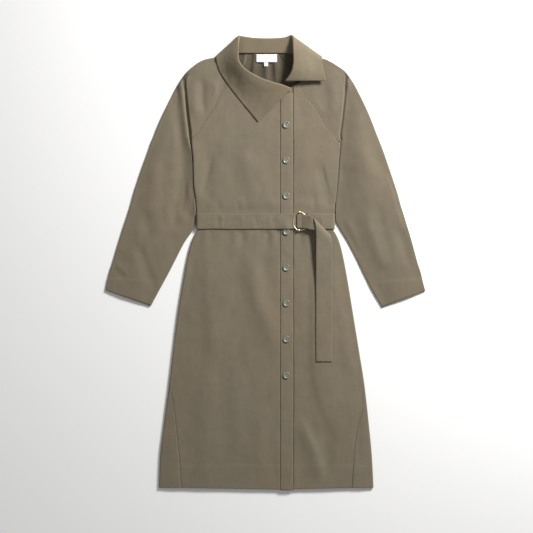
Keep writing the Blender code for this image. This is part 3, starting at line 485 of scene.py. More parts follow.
def tube(name, path, radius, finish, about=18):
    """Round wire along a line of points, with domed ends."""
    path = np.array(path, float)
    way = directions(path)
    side, up = square_to(way)
    angles = round_angles(about)[None, :, None]
    circle = (side[:, None] * np.cos(angles) + up[:, None] * np.sin(angles)) * radius
    domes = [(share * radius, math.sqrt(1 - share ** 2)) for share in (0.35, 0.7, 0.93)]
    head = [(path[0] - way[0] * out + circle[0] * swell)[None] for out, swell in reversed(domes)]
    foot = [(path[-1] + way[-1] * out + circle[-1] * swell)[None] for out, swell in domes]
    rings = np.concatenate(head + [path[:, None] + circle] + foot)
    tips = (path[0] - way[0] * radius)[None], (path[-1] + way[-1] * radius)[None]
    points = np.concatenate([tips[0], rings.reshape(-1, 3), tips[1]])
    return mesh_piece(name, points, capped(len(rings), about), finish)


def turned_piece(name, profile, place, finish, about, shape):
    """Solid turned about Z through (radius, height) points from the bottom's middle to the top's."""
    points = [(0.0, 0.0, profile[0][1])]
    for radius, height in profile[1:-1]:
        points += [(radius * math.cos(a), radius * math.sin(a), height) for a in round_angles(about)]
    points = shape(np.array(points + [(0.0, 0.0, profile[-1][1])]))
    return mesh_piece(name, points + np.array(place), capped(len(profile) - 2, about), finish)


def on_surface(grid, wall, rows, columns, above=0.05):
    """Points at fractional rows and columns of a shell's grid, on the face that looks up."""
    normal = surface_ways(grid)[2]
    wall = np.broadcast_to(wall, grid.shape[:2])[..., None]
    faces = grid + normal * np.sign(normal[..., 2:]) * (wall / 2 + above)
    rows, columns = np.broadcast_arrays(np.asarray(rows, float), np.asarray(columns, float))
    i = np.clip(rows.astype(int), 0, grid.shape[0] - 2)
    j = np.clip(columns.astype(int), 0, grid.shape[1] - 2)
    u, v = (rows - i)[:, None], (columns - j)[:, None]
    return mix(mix(faces[i, j], faces[i + 1, j], u), mix(faces[i, j + 1], faces[i + 1, j + 1], u), v)


# ---- the body's levels

edge_out = {RIGHT: by_y(BODY, "right"), LEFT: by_y(BODY, "left")}
edge_low, edge_high = by_y(BODY, "low"), by_y(BODY, "top")
side_seam = {side: by_y(rows, "seam") for side, rows in SIDES.items()}
EDGE_RAISED, EDGE_LOWERED = 1.9, 1.7      # the bodice's side fold, on the wearer's right and left


def edge_top(side, y):
    """Level at which the front meets its side, flatter on the wearer's left."""
    raised = EDGE_RAISED * between(y, WAIST_Y + 4, 40, UNDERARM_Y - 20, 30)
    return edge_high(y) + np.where(side > 0, -EDGE_LOWERED * ease((y - WAIST_Y) / 14), raised)


TAIL_RIDGE = 4.2         # how far the cloth stands up under the belt's tail
FRONT_CREASES = (
    # bodice, wearer's right
    (-2.1, 7, 14, (-143, 300), (-152, 249), (-163, 214), (-184, 158)),
    (1.5, 24, 18, (-116, 290), (-128, 220), (-146, 160)),
    (-1.3, 5, 8, (-178, 246), (-187, 212)),
    (2.6, 26, 24, (-66, 330), (-44, 240), (-24, 165), (-14, 136)),
    (1.4, 18, 18, (-30, 290), (-4, 210), (16, 140)),
    (-0.9, 7, 7, (-129, 172), (-127, 137)),
    (-0.9, 7, 7, (-76, 168), (-73, 137)),
    (0.9, 16, 22, (-92, 430), (-104, 340), (-112, 262)),
    # bodice, wearer's left
    (-2.7, 8, 20, (146, 282), (156, 232), (170, 186), (189, 146)),
    (2.4, 34, 26, (100, 400), (104, 300), (108, 200), (108, 140)),
    (-1.0, 8, 9, (128, 186), (136, 138)),
    # skirt, wearer's right
    (4.0, 30, 26, (-60, 74), (-42, -10), (-14, -110), (24, -226), (36, -290)),
    (3.2, 34, 26, (-150, 60), (-150, -60), (-142, -190), (-136, -300)),
    (-2.4, 12, 16, (-196, 30), (-206, -40), (-214, -120)),
    (3.2, 34, 34, (-152, -250), (-150, -370), (-152, -480), (-156, -600)),
    (2.2, 28, 28, (-92, -250), (-76, -380), (-66, -560)),
    (1.6, 20, 20, (-112, 30), (-108, -60), (-104, -150)),
    (-1.8, 18, 20, (-8, 40), (-2, -60), (8, -150)),
    (1.8, 24, 26, (-20, -330), (-14, -460), (-18, -596)),
    # skirt, wearer's left
    (TAIL_RIDGE, 60, 21, (138, 66), (139, -60), (140, -190), (145, -290), (172, -400), (214, -500)),
    (1.6, 18, 22, (98, 62), (98, -60), (102, -190), (96, -300)),
    (4.0, 15, 24, (88, -400), (104, -452), (134, -520), (152, -604)),
    (-2.0, 18, 20, (176, -420), (166, -500), (170, -600)),
    (2.0, 22, 26, (224, -80), (236, -220), (246, -360)),
    (-1.4, 12, 12, (254, -400), (252, -470), (258, -560)),
)
# Gathers that start under the belt: place, width, height, length
GATHERS = (
    (-176, 6, -1.3, 46), (-162, 8, 1.2, 50), (-146, 6, -1.0, 30), (-118, 8, 0.9, 40),
    (-96, 7, -1.1, 46), (-82, 8, 1.1, 52), (-62, 6, -1.3, 70), (-40, 8, 1.2, 60),
    (-24, 7, 1.5, 72), (6, 7, -1.6, 66), (20, 8, 1.3, 72), (32, 5, -0.9, 26),
    (92, 7, -1.2, 52), (106, 8, 1.2, 60), (123, 7, -1.6, 88), (146, 9, 1.0, 60), (184, 8, -0.9, 44),
)
SLEEVE_CREASES = (
    (-1.7, 13, 22, (-352, 62), (-328, -2), (-298, -72)),
    (1.0, 18, 20, (-372, 62), (-350, -10), (-320, -74)),
    (-0.8, 8, 10, (-410, -10), (-396, -30), (-378, -42)),
    (0.7, 8, 9, (-404, 2), (-386, -22), (-366, -38)),
    (-1.4, 12, 15, (-330, 160), (-318, 90), (-316, 44)),
    (1.8, 18, 25, (-288, 276), (-306, 180), (-330, 96)),
    (1.6, 15, 22, (-262, 356), (-292, 280), (-314, 210)),
    (-1.7, 11, 12, (-226, 214), (-242, 150), (-250, 80)),
    (1.9, 11, 10, (-200, 232), (-214, 150), (-228, 88)),
    (1.4, 15, 20, (-250, 60), (-276, -6), (-306, -60)),
    (2.0, 18, 25, (318, 262), (346, 170), (376, 70)),
    (-1.9, 14, 15, (290, 196), (318, 90), (348, -30)),
    (1.4, 12, 15, (260, 170), (286, 80), (318, -20)),
    (-1.4, 12, 12, (352, 110), (378, 30), (396, -30)),
    (1.6, 15, 18, (256, 330), (272, 270), (296, 220)),
    (1.2, 10, 10, (214, 130), (240, 70), (266, 20)),
)
HEAD_CREASES = (
    (-2.6, 11, 14, (-171, 506), (-171, 440), (-162, 392)),
    (2.0, 14, 14, (-192, 500), (-191, 440), (-184, 376)),
    (2.0, 10, 14, (-140, 500), (-134, 450), (-140, 420)),
    (2.0, 14, 16, (181, 500), (183, 440), (176, 385)),
    (-1.4, 18, 20, (156, 500), (163, 440), (160, 395)),
)

NECK_RISE, NECK_SEAM_Y = 1.9, 565.0
# Gathers at the back's neck: place, width on each side, height
NECK_GATHERS = ((-28, 5, 7, 3.4), (2, 6, 5, 3.6), (24, 5, 11, 4.0), (-52, 8, 8, 2.0), (52, 8, 8, 1.4))
GATHER_LEAN = 0.0035     # how they fan out, as a share of their place for each millimetre
PLACKET_MIDDLE_X = (PLACKET_LEFT_X + PLACKET_RIGHT_X) / 2
CHEST_RISE, CHEST_REACH = 1.6, 60.0       # how the bodice rises towards its sides
BLOUSE, BLOUSE_ABOVE, BLOUSE_WIDTH = 1.2, 24.0, 15.0    # how it puffs out over the belt
SIDE_SLOPE = 38.0        # width over which the front comes down to its side fold
FRONT_WAVES = (Wave(0.55, 62, 170, 11, 3.1, 7.7), Wave(0.32, 27, 66, 12), Wave(0.14, 11, 19, 13))


def neck_rise(y):
    """The back and the sleeves' undersides step over the fall of the collar."""
    return NECK_RISE * ease((y - 505) / 28)


def belt_band(y, soft):
    """1 over the belt's width and just past it, easing off over a soft length on each side."""
    return between(y, BELT_BOTTOM_Y - 3.0 - soft, soft, BELT_TOP_Y + 3.0 + soft, soft)


def back_z(x, y):
    """Level of the back's wall: on the floor, over the belt's back run and the collar."""
    down = NECK_SEAM_Y - y
    gathers = 0.0
    for place, left, right, height in NECK_GATHERS:
        lean = place + down * place * GATHER_LEAN
        width = np.where(x < lean, left, right) * (1 + np.clip(down, 0, 120) / 110)
        gathers = gathers + height * bell((x - lean) / width)
    gathers = gathers * ease((y - 440) / 75) * ease((78 - np.abs(x)) / 22)
    return HALF + neck_rise(y) + BELT_BACK_RISE * belt_band(y, 7.0) + gathers


def waist_gathers(x, y):
    """The gathers under the belt, wider and softer down the skirt."""
    below = BELT_BOTTOM_Y - y
    fan = np.clip(below, 0, 200)
    total = 0.0
    for place, width, height, length in GATHERS:
        across = (x - place * (1 + fan * 0.0009)) / (width * (1 + fan / 90))
        total = total + height * bell(across) * bell(np.clip(below, 0, 400) / length, 1.6)
    return total * ease((below - 1) / 9)


def front_z(x, y):
    """Level of the front's upper wall."""
    x, y = np.broadcast_arrays(np.asarray(x, float), np.asarray(y, float))
    held = np.clip(y, BODY[-1].y, BODY[0].y)
    inward = np.where(x > 0, edge_out[LEFT](held), edge_out[RIGHT](held)) - np.abs(x)
    level = AIR + relief(FRONT_CREASES, x, y) + waist_gathers(x, y)
    level = level + waves(FRONT_WAVES, x, y)
    level = level + CHEST_RISE * between(y, 165, 40, 470, 60) * bell(inward / CHEST_REACH)
    blouse = BLOUSE + 0.45 * ripple(x / 31 + 0.4, 0.5 + 0 * y, 14)
    level = level + blouse * bell((y - BELT_TOP_Y - BLOUSE_ABOVE) / BLOUSE_WIDTH) * ease(inward / 50)
    level = mix(level, AIR + 0.6, belt_band(y, 8.0))
    at_placket_top = ease((y + 4 - PLACKET_TOP_Y) / 20) * ease((60 - np.abs(x - PLACKET_MIDDLE_X)) / 20)
    level = mix(level, AIR + 0.3 * (level - AIR), at_placket_top)
    level = level + 0.25 * ease((HEM_SIDE_Y + HEM_DEPTH + 2 - y) / 3.0)
    tucked = mix(edge_top(np.sign(x), held), level, ease((inward - 2) / SIDE_SLOPE))
    return mix(tucked, level, ease((y - UNDERARM_Y + 8) / 60))


def underlap_z(x, y):
    """Level of the wearer's left front, lower where the placket covers it."""
    beyond = x - PLACKET_RIGHT_X
    rise = ease((beyond - 0.15) / 1.7)
    puffed = 0.5 * rise * bell(np.clip(beyond - 3, 0, 99) / 16)
    return front_z(x, y) - UNDERLAP_DROP * (1 - rise) + puffed * ease((450 - y) / 20)


# ---- the body's sides and seams

PLAIN_X = 200.0          # a place where the back has no gathers
SEAM_TUCK = 0.3          # how deep the cloth sinks at a sewn seam
FRONT_SEAM = {RIGHT: 2.0, LEFT: 0.4}      # share of that at the side seams, on the fronts
BACK_SEAM = {RIGHT: 0.3, LEFT: 0.4}       # and on the back


def fold_levels(side, y):
    """Levels of the foot and the top of the side fold."""
    return np.maximum(edge_low(y), back_z(PLAIN_X + 0 * y, y)), edge_top(side, y)


def side_points(side, y, along, top_level=front_z):
    """Points of the body's sections at the side; along is the distance from the outermost
    point, over the top where it is above 0 and underneath where it is below."""
    y, along = np.broadcast_arrays(y, along)
    low, top = fold_levels(side, y)
    nose = (top - low) / 2
    quarter = math.pi * nose / 2
    turned = np.clip(along / nose, -math.pi / 2, math.pi / 2)
    in_fold = np.abs(along) <= quarter
    inward = np.where(in_fold, nose * (1 - np.cos(turned)), nose + np.abs(along) - quarter)
    x = side * (edge_out[side](y) - HALF - inward)
    landing = -side_seam[side](y) - LANDING * ease((272 - y) / 30)
    floor = back_z(x, y)
    beneath = mix(np.maximum(low, floor), floor, ease((-along - landing) / (LANDING - 3.0)))
    z = np.where(along > 0, top_level(x, y), beneath)
    z = np.where(in_fold, (top + low) / 2 + nose * np.sin(turned), z)
    return join(x, y, z)


LEAST_STEP = 0.75        # from one column to the next


def side_places(side, y, onto, zone=15.0):
    """Places of a section's columns round the side, from the seam, for rows of y."""
    low, top = fold_levels(side, y)
    quarter = math.pi * (top - low) / 4
    seam = side_seam[side](y) * onto + GAP / 2
    second = np.minimum(seam + LANDING + 0.5, -quarter - 0.7) if onto > 0 else (seam - quarter) / 2
    fifths = (0.2, 0.4, 0.6, 0.8, 1.0)
    wanted = [mix(seam, second, t) for t in fifths]
    wanted += [mix(second, -quarter, t) for t in (0.25, 0.5, 0.75)]
    wanted += [quarter * t for t in np.linspace(-1, 1, 9)]
    wanted += [quarter + zone * t for t in fifths]
    places = [seam]
    for place in wanted:
        places.append(np.maximum(place, places[-1] + LEAST_STEP))
    return [onto * place for place in places]


ZONE_COLUMNS = len(side_places(RIGHT, np.zeros(1), 1))


def seam_points(table, side, name, offset):
    """Points of a sleeve's seam line, moved across it by an offset, inward where it is above 0."""
    points = join(side * table[name + "_x"], table[name + "_y"])
    along = directions(points)
    return points + side * join(along[:, 1], -along[:, 0]) * offset


def tuck(distance, width=2.2):
    """Dip of the cloth beside a seam."""
    return -SEAM_TUCK * bell(distance / width)


def side_tuck(columns):
    """Dip beside the side seam, where that lies on the front."""
    columns = np.stack(columns, axis=1)
    return tuck(columns - columns[:, :1]) * ease((columns - 6) / 4)


def hem_wall(grid, turn_up):
    """The wall is thicker over the turned-up hem."""
    return CLOTH + turn_up * ease((HEM_SIDE_Y + HEM_DEPTH - grid[..., 1]) / 2.5)


# ---- fronts and back

FRONT_COLUMNS, BACK_COLUMNS = 62, 76      # past the zones at the seams
SEAM_ZONE = 22.0         # width of that zone on the fronts
BACK_ZONE, BACK_ZONE_SHARE = 18.0, 0.22   # and on the back, with its most as a share of the width
BOW_START_Y = -525.0     # from here down the hem's middle hangs lower


def raglan_rows(side, inner_x, neck_y, neck_sag, level):
    """A front's rows from its raglan seam to its edge at the placket."""
    rows = SLEEVES[side]
    places = row_places([(row.seam_x, row.seam_y) for row in rows], 4.0, CORNER_ROW, NOTCH_ROW)
    seam = seam_points(dense(rows, places), side, "seam", GAP / 2)
    share = (places - CORNER_ROW) / (NOTCH_ROW - CORNER_ROW)
    inner = join(np.full(len(share), inner_x), mix(neck_y, rows[NOTCH_ROW].seam_y + 3, share))
    zone = np.linspace(0, SEAM_ZONE, ZONE_COLUMNS)
    sections = []
    for start, end, down in zip(seam, inner, share):
        reach = np.linalg.norm(end - start)
        edge = SEAM_ZONE / reach
        steps = np.concatenate([zone[:-1] / reach, np.linspace(edge, 1, FRONT_COLUMNS)])
        xy = start + (end - start) * steps[:, None]
        spread = np.clip((steps - edge) / (1 - edge), 0, 1)
        xy[:, 1] += neck_sag * (1 - down) ** 2 * np.sin(math.pi * spread)
        sections.append(np.column_stack([xy, level(xy[:, 0], xy[:, 1]) + tuck(steps * reach)]))
    return np.stack(sections)


def front_grid(side, inner_x, neck_y, neck_sag, level):
    """Rows of points of one front, from its raglan or side seam to its edge at the placket."""
    top_y = SIDES[side][1].y
    ys = np.concatenate([np.linspace(top_y, 262, 26), np.arange(258, HEM_SIDE_Y, -4.1), [HEM_SIDE_Y]])
    columns = side_places(side, ys, 1)
    zone = np.stack([side_points(side, ys, place, level) for place in columns[:-1]], axis=1)
    start = side_points(side, ys, columns[-1], level)[:, :2]
    drop = (HEM_MID_Y - HEM_SIDE_Y) * np.clip((BOW_START_Y - ys) / (BOW_START_Y - HEM_SIDE_Y), 0, 1)
    end = join(np.full(len(ys), inner_x), ys + drop)
    flat = mix(start[:, None], end[:, None], np.linspace(0, 1, FRONT_COLUMNS)[None, :, None])
    top = np.concatenate([flat, level(flat[..., 0], flat[..., 1])[..., None]], axis=2)
    lower = np.concatenate([zone, top], axis=1)
    lower[:, :ZONE_COLUMNS, 2] += FRONT_SEAM[side] * side_tuck(columns)
    return np.concatenate([raglan_rows(side, inner_x, neck_y, neck_sag, level), lower])


def back_grid():
    """Rows of points of the back, from one raglan or side seam to the other."""
    count = len(row_places([(row.back_x, row.back_y) for row in SLEEVES[RIGHT]], 5.0, 0, UNDERARM_ROW))
    places = np.linspace(0, UNDERARM_ROW, count)
    right, left = (seam_points(dense(SLEEVES[side], places), side, "back", GAP / 2) for side in (RIGHT, LEFT))
    sections = []
    for a, b in zip(right, left):
        zone = min(BACK_ZONE, BACK_ZONE_SHARE * (b[0] - a[0]))
        steps = np.linspace(0, zone, ZONE_COLUMNS)
        middle = np.linspace(a[0] + zone, b[0] - zone, BACK_COLUMNS)
        xs = np.concatenate([a[0] + steps[:-1], middle, b[0] - steps[-2::-1]])
        y = mix(a[1], b[1], (xs - a[0]) / (b[0] - a[0]))
        sections.append(np.column_stack([xs, y, back_z(xs, y)]))
    ys = np.concatenate([np.linspace(246, 232, 4), np.arange(228, HEM_SIDE_Y, -5.0), [HEM_SIDE_Y]])
    zones = {}
    for side in (RIGHT, LEFT):
        columns = side_places(side, ys, -1)
        zones[side] = np.stack([side_points(side, ys, place) for place in columns], axis=1)
        zones[side][..., 2] += BACK_SEAM[side] * side_tuck(columns)
    a, b = zones[RIGHT][:, -1], zones[LEFT][:, -1]
    across = mix(a[:, None], b[:, None], np.linspace(0, 1, BACK_COLUMNS)[None, :, None])
    across[..., 2] = back_z(across[..., 0], across[..., 1])
    lower = np.concatenate([zones[RIGHT][:, :-1], across, zones[LEFT][:, -2::-1]], axis=1)
    return np.concatenate([np.stack(sections), lower])


# ---- sleeves

SLEEVE_WAVES = (Wave(0.7, 55, 90, 21, 9, 2), Wave(0.3, 22, 36, 22))
CUFF_DEPTH = 36.0
SLEEVE_PITCH = 3.4       # from one row of points to the next
CURL_STEPS, TOP_COLUMNS, NOSE_STEPS, UNDER_STEPS = 7, 110, 9, 18    # round a sleeve
CURL_LENGTH = math.pi * UNDERARM_NOSE
BANK_LENGTH = {RIGHT: 16.0, LEFT: 8.0}
BANK_HEIGHT = {RIGHT: 5.2, LEFT: 0.6}     # how the sleeve stands up beside the raglan's fold
BANK_DIP = {RIGHT: 3.2, LEFT: 0.0}        # how low it lies beyond that
DIP_PLACE, DIP_WIDTH = 28.0, 16.0
VALLEY_WIDTH = {RIGHT: 5.8, LEFT: 2.3}    # of the furrow between body and sleeve
VALLEY_DEPTH, LOWEST_TOP = 4.4, 2.3
ELBOW_Y = 285.0          # over 60 mm from here up, the shapes change from the first to the second:
CREST, CREST_SLOPE = (1.8, 7.6), (1.2, 2.2)     # where the bank stands, away from the armhole
CREST_SHARE = (0.85, 1.0)
LEFT_RISE = ((1.8, 0.6, 3.0), (4.0, 1.0, 60.0))    # height, start and width of the left sleeve's rise
ARM_TOP_Y = 506.0        # from here up, sleeve and body are one surface
ARMHOLE = ((ARM_TOP_Y, 218.5), (451, 212.5), (388, 206), (343, 200.5))


def armhole_line(side):
    """How far out the line between body and sleeve is, as a smooth function of y."""
    along_body = tuple((y, float(edge_out[side](y))) for y in (330, 276, 212, 168, 155, 142, 112, 88))
    return curve_through(*zip(*(ARMHOLE + along_body)))


armhole = {side: armhole_line(side) for side in (RIGHT, LEFT)}


def across_edge(points, sign):
    """Unit vectors across an edge line, evened out along it."""
    padded = np.pad(directions(points), ((4, 4), (0, 0)), mode="edge")
    along = unit(join(*[np.convolve(values, np.ones(9) / 9, "valid") for values in padded.T]))
    return sign * join(along[:, 1], -along[:, 0])


def sleeve_lines(side):
    """A sleeve's rows at even places down the arm: table values, and lines seen from above."""
    rows = SLEEVES[side]
    places = row_places([(row.out_x, row.out_y) for row in rows], SLEEVE_PITCH)
    arm = SimpleNamespace(side=side, places=places)
    table = dense(rows, places)
    for name in ("fold", "lift", "crown", "curl"):
        setattr(arm, name, table[name][:, None])
    arm.head = ease((NOTCH_ROW + 0.45 - places) / 0.3)[:, None]
    raw_seam = join(side * table["seam_x"], table["seam_y"])
    sewn = seam_points(table, side, "seam", -GAP / 2)
    arm.seam = mix(sewn, raw_seam, ease(places - NOTCH_ROW)[:, None])
    back = dense(rows, np.clip(places, 0, UNDERARM_ROW))
    arm.back = join(side * back["back_x"], back["back_y"])
    on_back = places <= UNDERARM_ROW
    sewn_part = {name: values[on_back] for name, values in back.items()}
    arm.back[on_back] = seam_points(sewn_part, side, "back", -GAP / 2)
    arm.out = join(side * table["out_x"], table["out_y"])
    arm.outer_in, arm.inner_in = across_edge(arm.out, side), across_edge(raw_seam, -side)
    arm.start = arm.out + arm.outer_in * (HALF + SHOULDER_NOSE)
    arm.turn = arm.seam + arm.inner_in * (HALF + UNDERARM_NOSE)
    arm.flat_end = arm.seam + unit(arm.start - arm.seam) * CURL_LENGTH
    arm.end = mix(arm.flat_end, arm.turn, arm.curl)
    arm.width = np.linalg.norm(arm.end - arm.start, axis=1)[:, None]
    arm.floor = HALF + neck_rise(table["out_y"])
    return arm


def arm_level(arm, s, x, y, away):
    """Level of the sleeve's upper layer, s in from its outer fold and away from the armhole."""
    inner_top = HALF + 2 * UNDERARM_NOSE
    fold_top = arm.floor[:, None] + 2 * SHOULDER_NOSE
    level = mix(fold_top, inner_top, ease(s / arm.fold) * mix(1.0, arm.lift, arm.head))
    level = level + arm.crown * np.sin(math.pi * np.clip(s / arm.fold, 0, 1)) ** 2
    beside = between(y, 108, 34, ARM_TOP_Y, 30)
    inside = ease(s / 16) * ease((arm.width - s) / 18) * mix(1.0, ease((away - 2) / 12), beside)
    level = level + (relief(SLEEVE_CREASES, x, y) + waves(SLEEVE_WAVES, x, y)) * inside
    upper = ease((y - ELBOW_Y) / 60)
    crest, slope = mix(*CREST, upper), mix(*CREST_SLOPE, upper)
    beyond = np.clip(away - crest, 0, 99) / BANK_LENGTH[arm.side]
    bank = ease((away - crest + slope) / slope) * mix(*CREST_SHARE, upper)
    bank = bank * mix(bell(beyond, 1), bell(beyond), upper)
    dip = bell((away - DIP_PLACE) / DIP_WIDTH)
    level = level + beside * (BANK_HEIGHT[arm.side] * bank - BANK_DIP[arm.side] * dip)
    if arm.side == LEFT:
        rise = sum(height * ease((away - start) / width) for height, start, width in LEFT_RISE)
        rise = rise * between(y, 60, 180, ARM_TOP_Y, 30)
        level = level + rise * bell(np.clip(away - 60, 0, 999) / 110)
    width = VALLEY_WIDTH[arm.side]
    valley = VALLEY_DEPTH * beside * bell((away - 0.6 * width) / width)
    return np.maximum(level - valley * arm.head, LOWEST_TOP)


def head_share(arm, s, x, y, away):
    """How far the sleeve follows the body's surface: 1 on the raglan's head, 0 on the arm."""
    corner_y = np.linspace(SIDES[arm.side][0].y, SIDES[arm.side][0].y - 7, 15)
    corner_x = edge_out[arm.side](corner_y) - side_seam[arm.side](corner_y)
    places = arm.places[:, None]
    kept = ease((y - np.interp(np.abs(x), corner_x, corner_y) - 0.2) / 1.2)
    kept = kept * (NOTCH_ROW < places) * (places < NOTCH_ROW + 2) * (np.abs(x) < edge_out[arm.side](y) + 0.6)
    sharp = ease((places - 6.6) / 1.2)
    within = mix(s - arm.fold, -away, sharp) + mix(7.0, 0.6, sharp)
    return np.maximum(arm.head, kept) * ease(within / mix(14.0, 1.6, sharp)) * ease(s / 7)


def sleeve_top(arm, s, xy):
    """Level of a sleeve's upper layer at points s in from its outer fold."""
    x, y = xy[..., 0], xy[..., 1]
    away = np.abs(x) - armhole[arm.side](y)
    folded = ease((y - 330) / 50) * ease((arm.width - s) / 16) * ease(s / 18)
    body = front_z(x, y) + relief(HEAD_CREASES, x, y) * folded
    fold_top = arm.floor[:, None] + 2 * SHOULDER_NOSE
    shoulder = mix(fold_top, body, np.maximum(arm.lift, ease(s / 38)))
    return mix(arm_level(arm, s, x, y, away), shoulder, head_share(arm, s, x, y, away))


def sleeve_grid(side):
    """Rows of a flattened sleeve: seam end, over the top, round the outer edge, back under."""
    arm = sleeve_lines(side)
    columns = []
    for share in np.linspace(1, 0, CURL_STEPS + 1)[:-1]:
        flat = mix(arm.flat_end, arm.seam, share)
        flat_z = sleeve_top(arm, arm.width + CURL_LENGTH * share, flat[:, None])
        curled = arm.turn - arm.inner_in * UNDERARM_NOSE * math.sin(math.pi * share)
        curled_z = HALF + UNDERARM_NOSE * (1 + math.cos(math.pi * share))
        columns.append(np.concatenate([mix(flat, curled, arm.curl), mix(flat_z, curled_z, arm.curl)], axis=1))
    shares = np.linspace(1, 0, TOP_COLUMNS)
    s = arm.width * shares
    xy = mix(arm.start[:, None], arm.end[:, None], shares[None, :, None])
    z = sleeve_top(arm, s, xy) + tuck(arm.width - s) * (arm.places[:, None] < NOTCH_ROW)
    columns += list(np.concatenate([xy, z[..., None]], axis=2).transpose(1, 0, 2))
    for angle in np.linspace(0, math.pi, NOSE_STEPS + 1)[1:]:
        xy = arm.start - arm.outer_in * SHOULDER_NOSE * math.sin(angle)
        columns.append(np.column_stack([xy, arm.floor + SHOULDER_NOSE * (1 + math.cos(angle))]))
    past = np.clip(arm.places - UNDERARM_ROW, 0, 1)
    closed_end = arm.turn + arm.inner_in * (3 - 2 * arm.curl) * 0.8
    under_end = mix(arm.back, closed_end, past[:, None])
    for share in np.linspace(0, 1, UNDER_STEPS + 1)[1:]:
        xy = mix(arm.start, under_end, share)
        columns.append(np.column_stack([xy, mix(back_z(xy[:, 0], xy[:, 1]), HALF, past)]))
    grid = np.stack(columns, axis=1)
    from_cuff = np.linalg.norm(arm.out - arm.out[-1], axis=1)[:, None]
    turned_up = ease((CUFF_DEPTH - from_cuff) / 2.0)
    above = ease((grid[..., 2] - 2.4) / 1.5)
    wall = CLOTH + turned_up * (0.2 + 0.5 * above)
    grid[..., 2] += 0.3 * turned_up * above
    return grid, wall


# ---- collar

COLLAR_CREASES = (
    (-1.4, 8, 9, (-62, 512), (-78, 488), (-84, 462)),
    (1.2, 8, 10, (-98, 512), (-84, 470), (-62, 438)),
    (-1.0, 7, 8, (-20, 470), (-24, 440), (-30, 414)),
    (1.3, 9, 9, (112, 560), (116, 530), (118, 506)),
    (-1.0, 8, 9, (134, 556), (140, 528), (142, 508)),
)
COLLAR_CREASING = 0.45   # share of those heights that shows
STAND_COLUMNS, ROLL_COLUMNS = 11, 13
FALL_COLUMNS = 33        # from the roll down to the collar's edge


def points_of(table, name):
    return join(*[table[name + letter] for letter in ("_x", "_y", "_z")])


def collar_grid():
    """Rows of the collar: up the stand, round the roll, down the fall."""
    places = row_places([(row.edge_x, row.edge_y) for row in COLLAR], 3.2)
    table = dense(COLLAR, places)
    base, roll, edge = (points_of(table, name) for name in ("base", "roll", "edge"))
    resting = front_z(edge[:, 0], edge[:, 1]) + 1.9
    on_front = (edge[:, 0] < 0) & (table["turn"] < 5)
    edge[:, 2] = np.where(on_front, np.minimum(edge[:, 2], resting), edge[:, 2])
    away = unit((roll - base) * (1, 1, 0))
    centre = roll - away * ROLL_RADIUS
    angle = np.radians(table["turn"])
    outward = np.where(table["base_x"] > 0, 1.0, -1.0)
    over = join(outward * np.sin(angle), 0 * angle, np.cos(angle))
    stand_top, fall_top = centre - over * ROLL_RADIUS, centre + over * ROLL_RADIUS
    columns = [mix(base, stand_top, share) for share in np.linspace(0, 1, STAND_COLUMNS + 1)[:-1]]
    for around in np.linspace(-math.pi / 2, math.pi / 2, ROLL_COLUMNS):
        columns.append(centre + ROLL_RADIUS * (away * math.cos(around) + over * math.sin(around)))
    lying = (np.cos(angle) > 0.5) * np.clip(np.linalg.norm(edge - fall_top, axis=1) / 60, 0, 1)
    for share in np.linspace(0, 1, FALL_COLUMNS + 1)[1:]:
        point = mix(fall_top, edge, share)
        drop = mix((1 - share) ** 1.3, 1 - float(ease(share)), 0.6)
        point[:, 2] = mix(edge[:, 2], fall_top[:, 2], drop)
        lift = 0.55 * ripple(places * 0.55 + 4, share * 1.7 + 0 * places, 31)
        lift = lift + 0.35 * ripple(places * 1.9, share * 4.1 + 0 * places, 32)
        lift = lift + COLLAR_CREASING * relief(COLLAR_CREASES, point[:, 0], point[:, 1])
        point[:, 2] += lift * lying * float(ease(share / 0.25))
        columns.append(point)
    return np.stack(columns, axis=1)


# ---- placket, belt and its free end

PLACKET_LIFT = 0.65      # the band's middle over the front's
PLACKET_CROWN, BELT_CROWN, TAIL_CROWN = 0.35, 0.3, 0.35      # how full the doubled bands are
BELT_LIFT = 2.9          # the belt's middle over the front's plain level
BELT_RUN_X = 172.0       # from here outward the belt turns round the sides
BELT_START_X, BELT_END_X = 108, 111       # its two ends, under the ring and the free end
TAIL_LIFT, TAIL_SPAN = 1.65, 0.9          # the free end over the front, and how far it bridges
BELT_CREASES = (
    (-0.8, 4, 5, (-128, 132), (-126, 90)), (0.7, 4, 5, (-118, 132), (-116, 90)),
    (-0.7, 5, 4, (-30, 132), (-22, 90)), (0.6, 5, 5, (-66, 132), (-60, 90)),
    (-1.0, 3, 4, (84, 134), (85, 88)), (0.8, 3, 3, (90, 134), (91, 88)),
    (-0.9, 3, 3, (97, 134), (98, 88)), (0.6, 6, 6, (10, 132), (14, 90)),
    (0.5, 3, 4, (30, 132), (31, 90)), (0.6, 5, 5, (150, 132), (156, 90)),
)


def placket_z(x, y):
    return front_z(x, y) + PLACKET_LIFT


def placket_grid():
    """Rows of the placket band, down the front's edge and a little past the hem."""
    ys = np.concatenate([np.arange(PLACKET_TOP_Y, HEM_MID_Y - 2, -3.6), [HEM_MID_Y - 2]])
    x, y = np.meshgrid(np.linspace(PLACKET_LEFT_X + GAP, PLACKET_RIGHT_X, 13), ys)
    x = x + 0.5 * ripple(y / 120, 0 * y + 3.3, 41) * ease((x - PLACKET_LEFT_X - 8) / 20)
    z = placket_z(x, y) + PLACKET_CROWN * bell((x - PLACKET_MIDDLE_X) / 13.0, 4)
    z = z + waves([Wave(0.16, 9, 24, 42)], x, y)
    z = z - 0.5 * bell((x - PLACKET_RIGHT_X) / 1.6) - 0.7 * bell((PLACKET_TOP_Y - y) / 4.0)
    return join(x, y, z)


